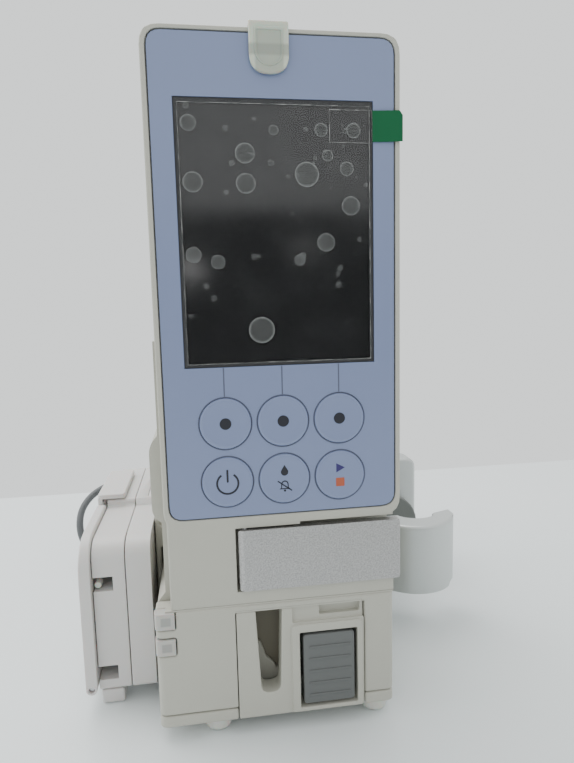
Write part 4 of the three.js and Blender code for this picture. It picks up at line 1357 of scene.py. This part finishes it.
# ---- inside --------------------------------------------------------------------------------------
class InsideOperator(bpy.types.Operator):
    """Make the pumping mechanism and the electronics inside the casing"""

    bl_idname = "pump.inside"
    bl_label = "Mechanism And Electronics"

    def execute(self, context):
        edge = context.scene.pump_sizes.fine_edge
        rollers = [f"pump_roller_{i}" for i in (1, 2, 3)]
        for node in (*rollers, "motor_pinion", "pump_motor"):
            dress_rounded(node, edge * 0.3, ground_steel())
        dress_rounded("pump_chassis", edge, latch_grey())
        dress_rounded("pump_rotor", edge * 0.3, warm_white())
        for node in ("display_board", "main_board"):
            dress_rounded(node, edge * 0.5, board_green())
        dress_rounded("alarm_speaker", edge * 2, charcoal())
        dress_rounded("battery_pack", edge * 3, latch_grey())
        return {"FINISHED"}


# ---- rear sockets and clamp ----------------------------------------------------------------------
THREAD_PITCH = 3.0
THREAD_LENGTH = 37.8


class ClampOperator(bpy.types.Operator):
    """Make the pole clamp, its screw and knob, and the sockets on the back"""

    bl_idname = "pump.clamp"
    bl_label = "Pole Clamp And Sockets"

    def execute(self, context):
        sizes = context.scene.pump_sizes
        dress_rounded("power_inlet", sizes.fine_edge, charcoal())
        dress_rounded("accessory_socket", sizes.metal_edge, ground_steel())
        dress_rounded("clamp_bracket", sizes.casting_edge, cast_aluminium(), segments=4)
        dress_rounded("clamp_liner", sizes.fine_edge, clamp_rubber())
        dress_rounded("clamp_pad", sizes.metal_edge * 3, clamp_rubber())
        self.screw()
        self.knob(sizes)
        screws("bracket_screws", [(41, 122, 16), (41, 122, 48)], 2.6, ground_steel(), "clamp_bracket")
        return {"FINISHED"}

    def screw(self):
        """Spindle with its thread; its head fills the knob."""
        x, z = CLAMP
        core = Form().lathe([(0, 105.7), (3.6, 105.7), (4.1, 106.4), (4.1, 146.0), (4.7, 146.4), (4.7, 146.7),
                             (3.4, 147.0), (3.4, 161.8), (0, 161.8)], (x, 0, z), sides=40)
        dress(core.piece("clamp_spindle_core"), ground_steel(), "clamp_screw")
        ridge = run_tree("clamp_thread", thread_tree(), bpy.data.meshes.new("empty"), None,
                         Material=ground_steel(), Turns=THREAD_LENGTH / THREAD_PITCH, Radius=4.1 * MM,
                         Height=THREAD_LENGTH * MM,
                         Section=0.62 * MM)
        ridge.data.transform(Matrix.Translation(ORIGIN + Vector((x, 107.4, z)) * MM)
                             @ Matrix.Rotation(-math.pi / 2, 4, "X"))
        dress(ridge, ground_steel(), "clamp_screw", stands_for=False)

    def knob(self, sizes):
        dress_rounded("clamp_knob", sizes.casting_edge, charcoal(), segments=4)
        x, z = CLAMP
        cap = Form().lathe([(0, 170.9), (4.5, 170.8), (6.6, 170.4), (7.2, 169.6), (7.2, 168), (0, 168)],
                           (x, 0, z))
        dress(cap.piece("clamp_knob_cap", crease=50), latch_grey(), "clamp_knob", stands_for=False)


# ---- line warmer ---------------------------------------------------------------------------------
def shell_share(middle):
    """Seams and the grooved face under the cover stay tight, the notches fine, outer edges generous."""
    if abs(middle.x + 52.2) < 0.5:
        return 0.16
    if middle.x < -62:
        return 0.12
    if middle.x < -57 and middle.y < 23:
        return 0.25
    return 1.0 if middle.x > -53 else 0.55


class WarmerOperator(bpy.types.Operator):
    """Make the line warmer that hangs on the pump's left flank"""

    bl_idname = "pump.warmer"
    bl_label = "Line Warmer"

    def execute(self, context):
        sizes = context.scene.pump_sizes
        dress_rounded("warmer_outer_shell", sizes.warmer_edge, warm_white(), segments=4, share=shell_share)
        dress_rounded("warmer_inner_shell", sizes.warmer_edge, warm_white(), segments=4, share=shell_share)
        dress_rounded("warmer_cover", sizes.fine_edge * 4, warm_white(), segments=4)
        dress_rounded("warmer_latch", sizes.fine_edge * 2, warm_white(), segments=3)
        dress_rounded("warmer_heater_plate", sizes.fine_edge, anodised_plate())
        dress_rounded("warmer_hinge_pin", sizes.metal_edge * 0.5, ground_steel())
        dress_rounded("warmer_bracket", sizes.moulding_edge, beige())
        dress_rounded("warmer_foot", sizes.moulding_edge, warm_white())
        peg = Form().lathe([(0, 22.4), (1.0, 22.5), (1.2, 23.0), (1.2, 26), (0, 26)],
                           (-61.6, 0, 43.6), sides=20)
        dress(peg.piece("groove_peg"), foot_rubber(), "warmer_outer_shell", stands_for=False)
        screws("warmer_screws", [(-48, 112, 14), (-48, 112, 50)], 1.7, ground_steel(), "warmer_inner_shell")
        return {"FINISHED"}


# ---- panel and registration ----------------------------------------------------------------------
OPERATORS = (StageOperator, LeadOperator, CasingOperator, OverlayOperator, DisplayOperator, LensOperator,
             BlockOperator, DoorOperator, LeverOperator, InsideOperator, ClampOperator, WarmerOperator)


class PumpPanel(bpy.types.Panel):
    """Sizes, colours and pieces of the pump"""

    bl_idname = "VIEW3D_PT_pump"
    bl_label = "Infusion Pump"
    bl_space_type = "VIEW_3D"
    bl_region_type = "UI"
    bl_category = "Pump"

    def draw(self, context):
        for group in (context.scene.pump_sizes, context.scene.pump_colours):
            column = self.layout.column(align=True)
            for name in group.__annotations__:
                column.prop(group, name)
        column = self.layout.column(align=True)
        for operator in OPERATORS:
            column.operator(operator.bl_idname)


CLASSES = (PumpSizes, PumpColours, *OPERATORS, PumpPanel)


def register():
    for kind in CLASSES:
        bpy.utils.register_class(kind)
    bpy.types.Scene.pump_sizes = PointerProperty(type=PumpSizes)
    bpy.types.Scene.pump_colours = PointerProperty(type=PumpColours)


def unregister():
    del bpy.types.Scene.pump_sizes
    del bpy.types.Scene.pump_colours
    for kind in reversed(CLASSES):
        bpy.utils.unregister_class(kind)


def main():
    register()
    for operator in OPERATORS:
        family, action = operator.bl_idname.split(".")
        getattr(getattr(bpy.ops, family), action)()


if __name__ == "__main__":
    main()
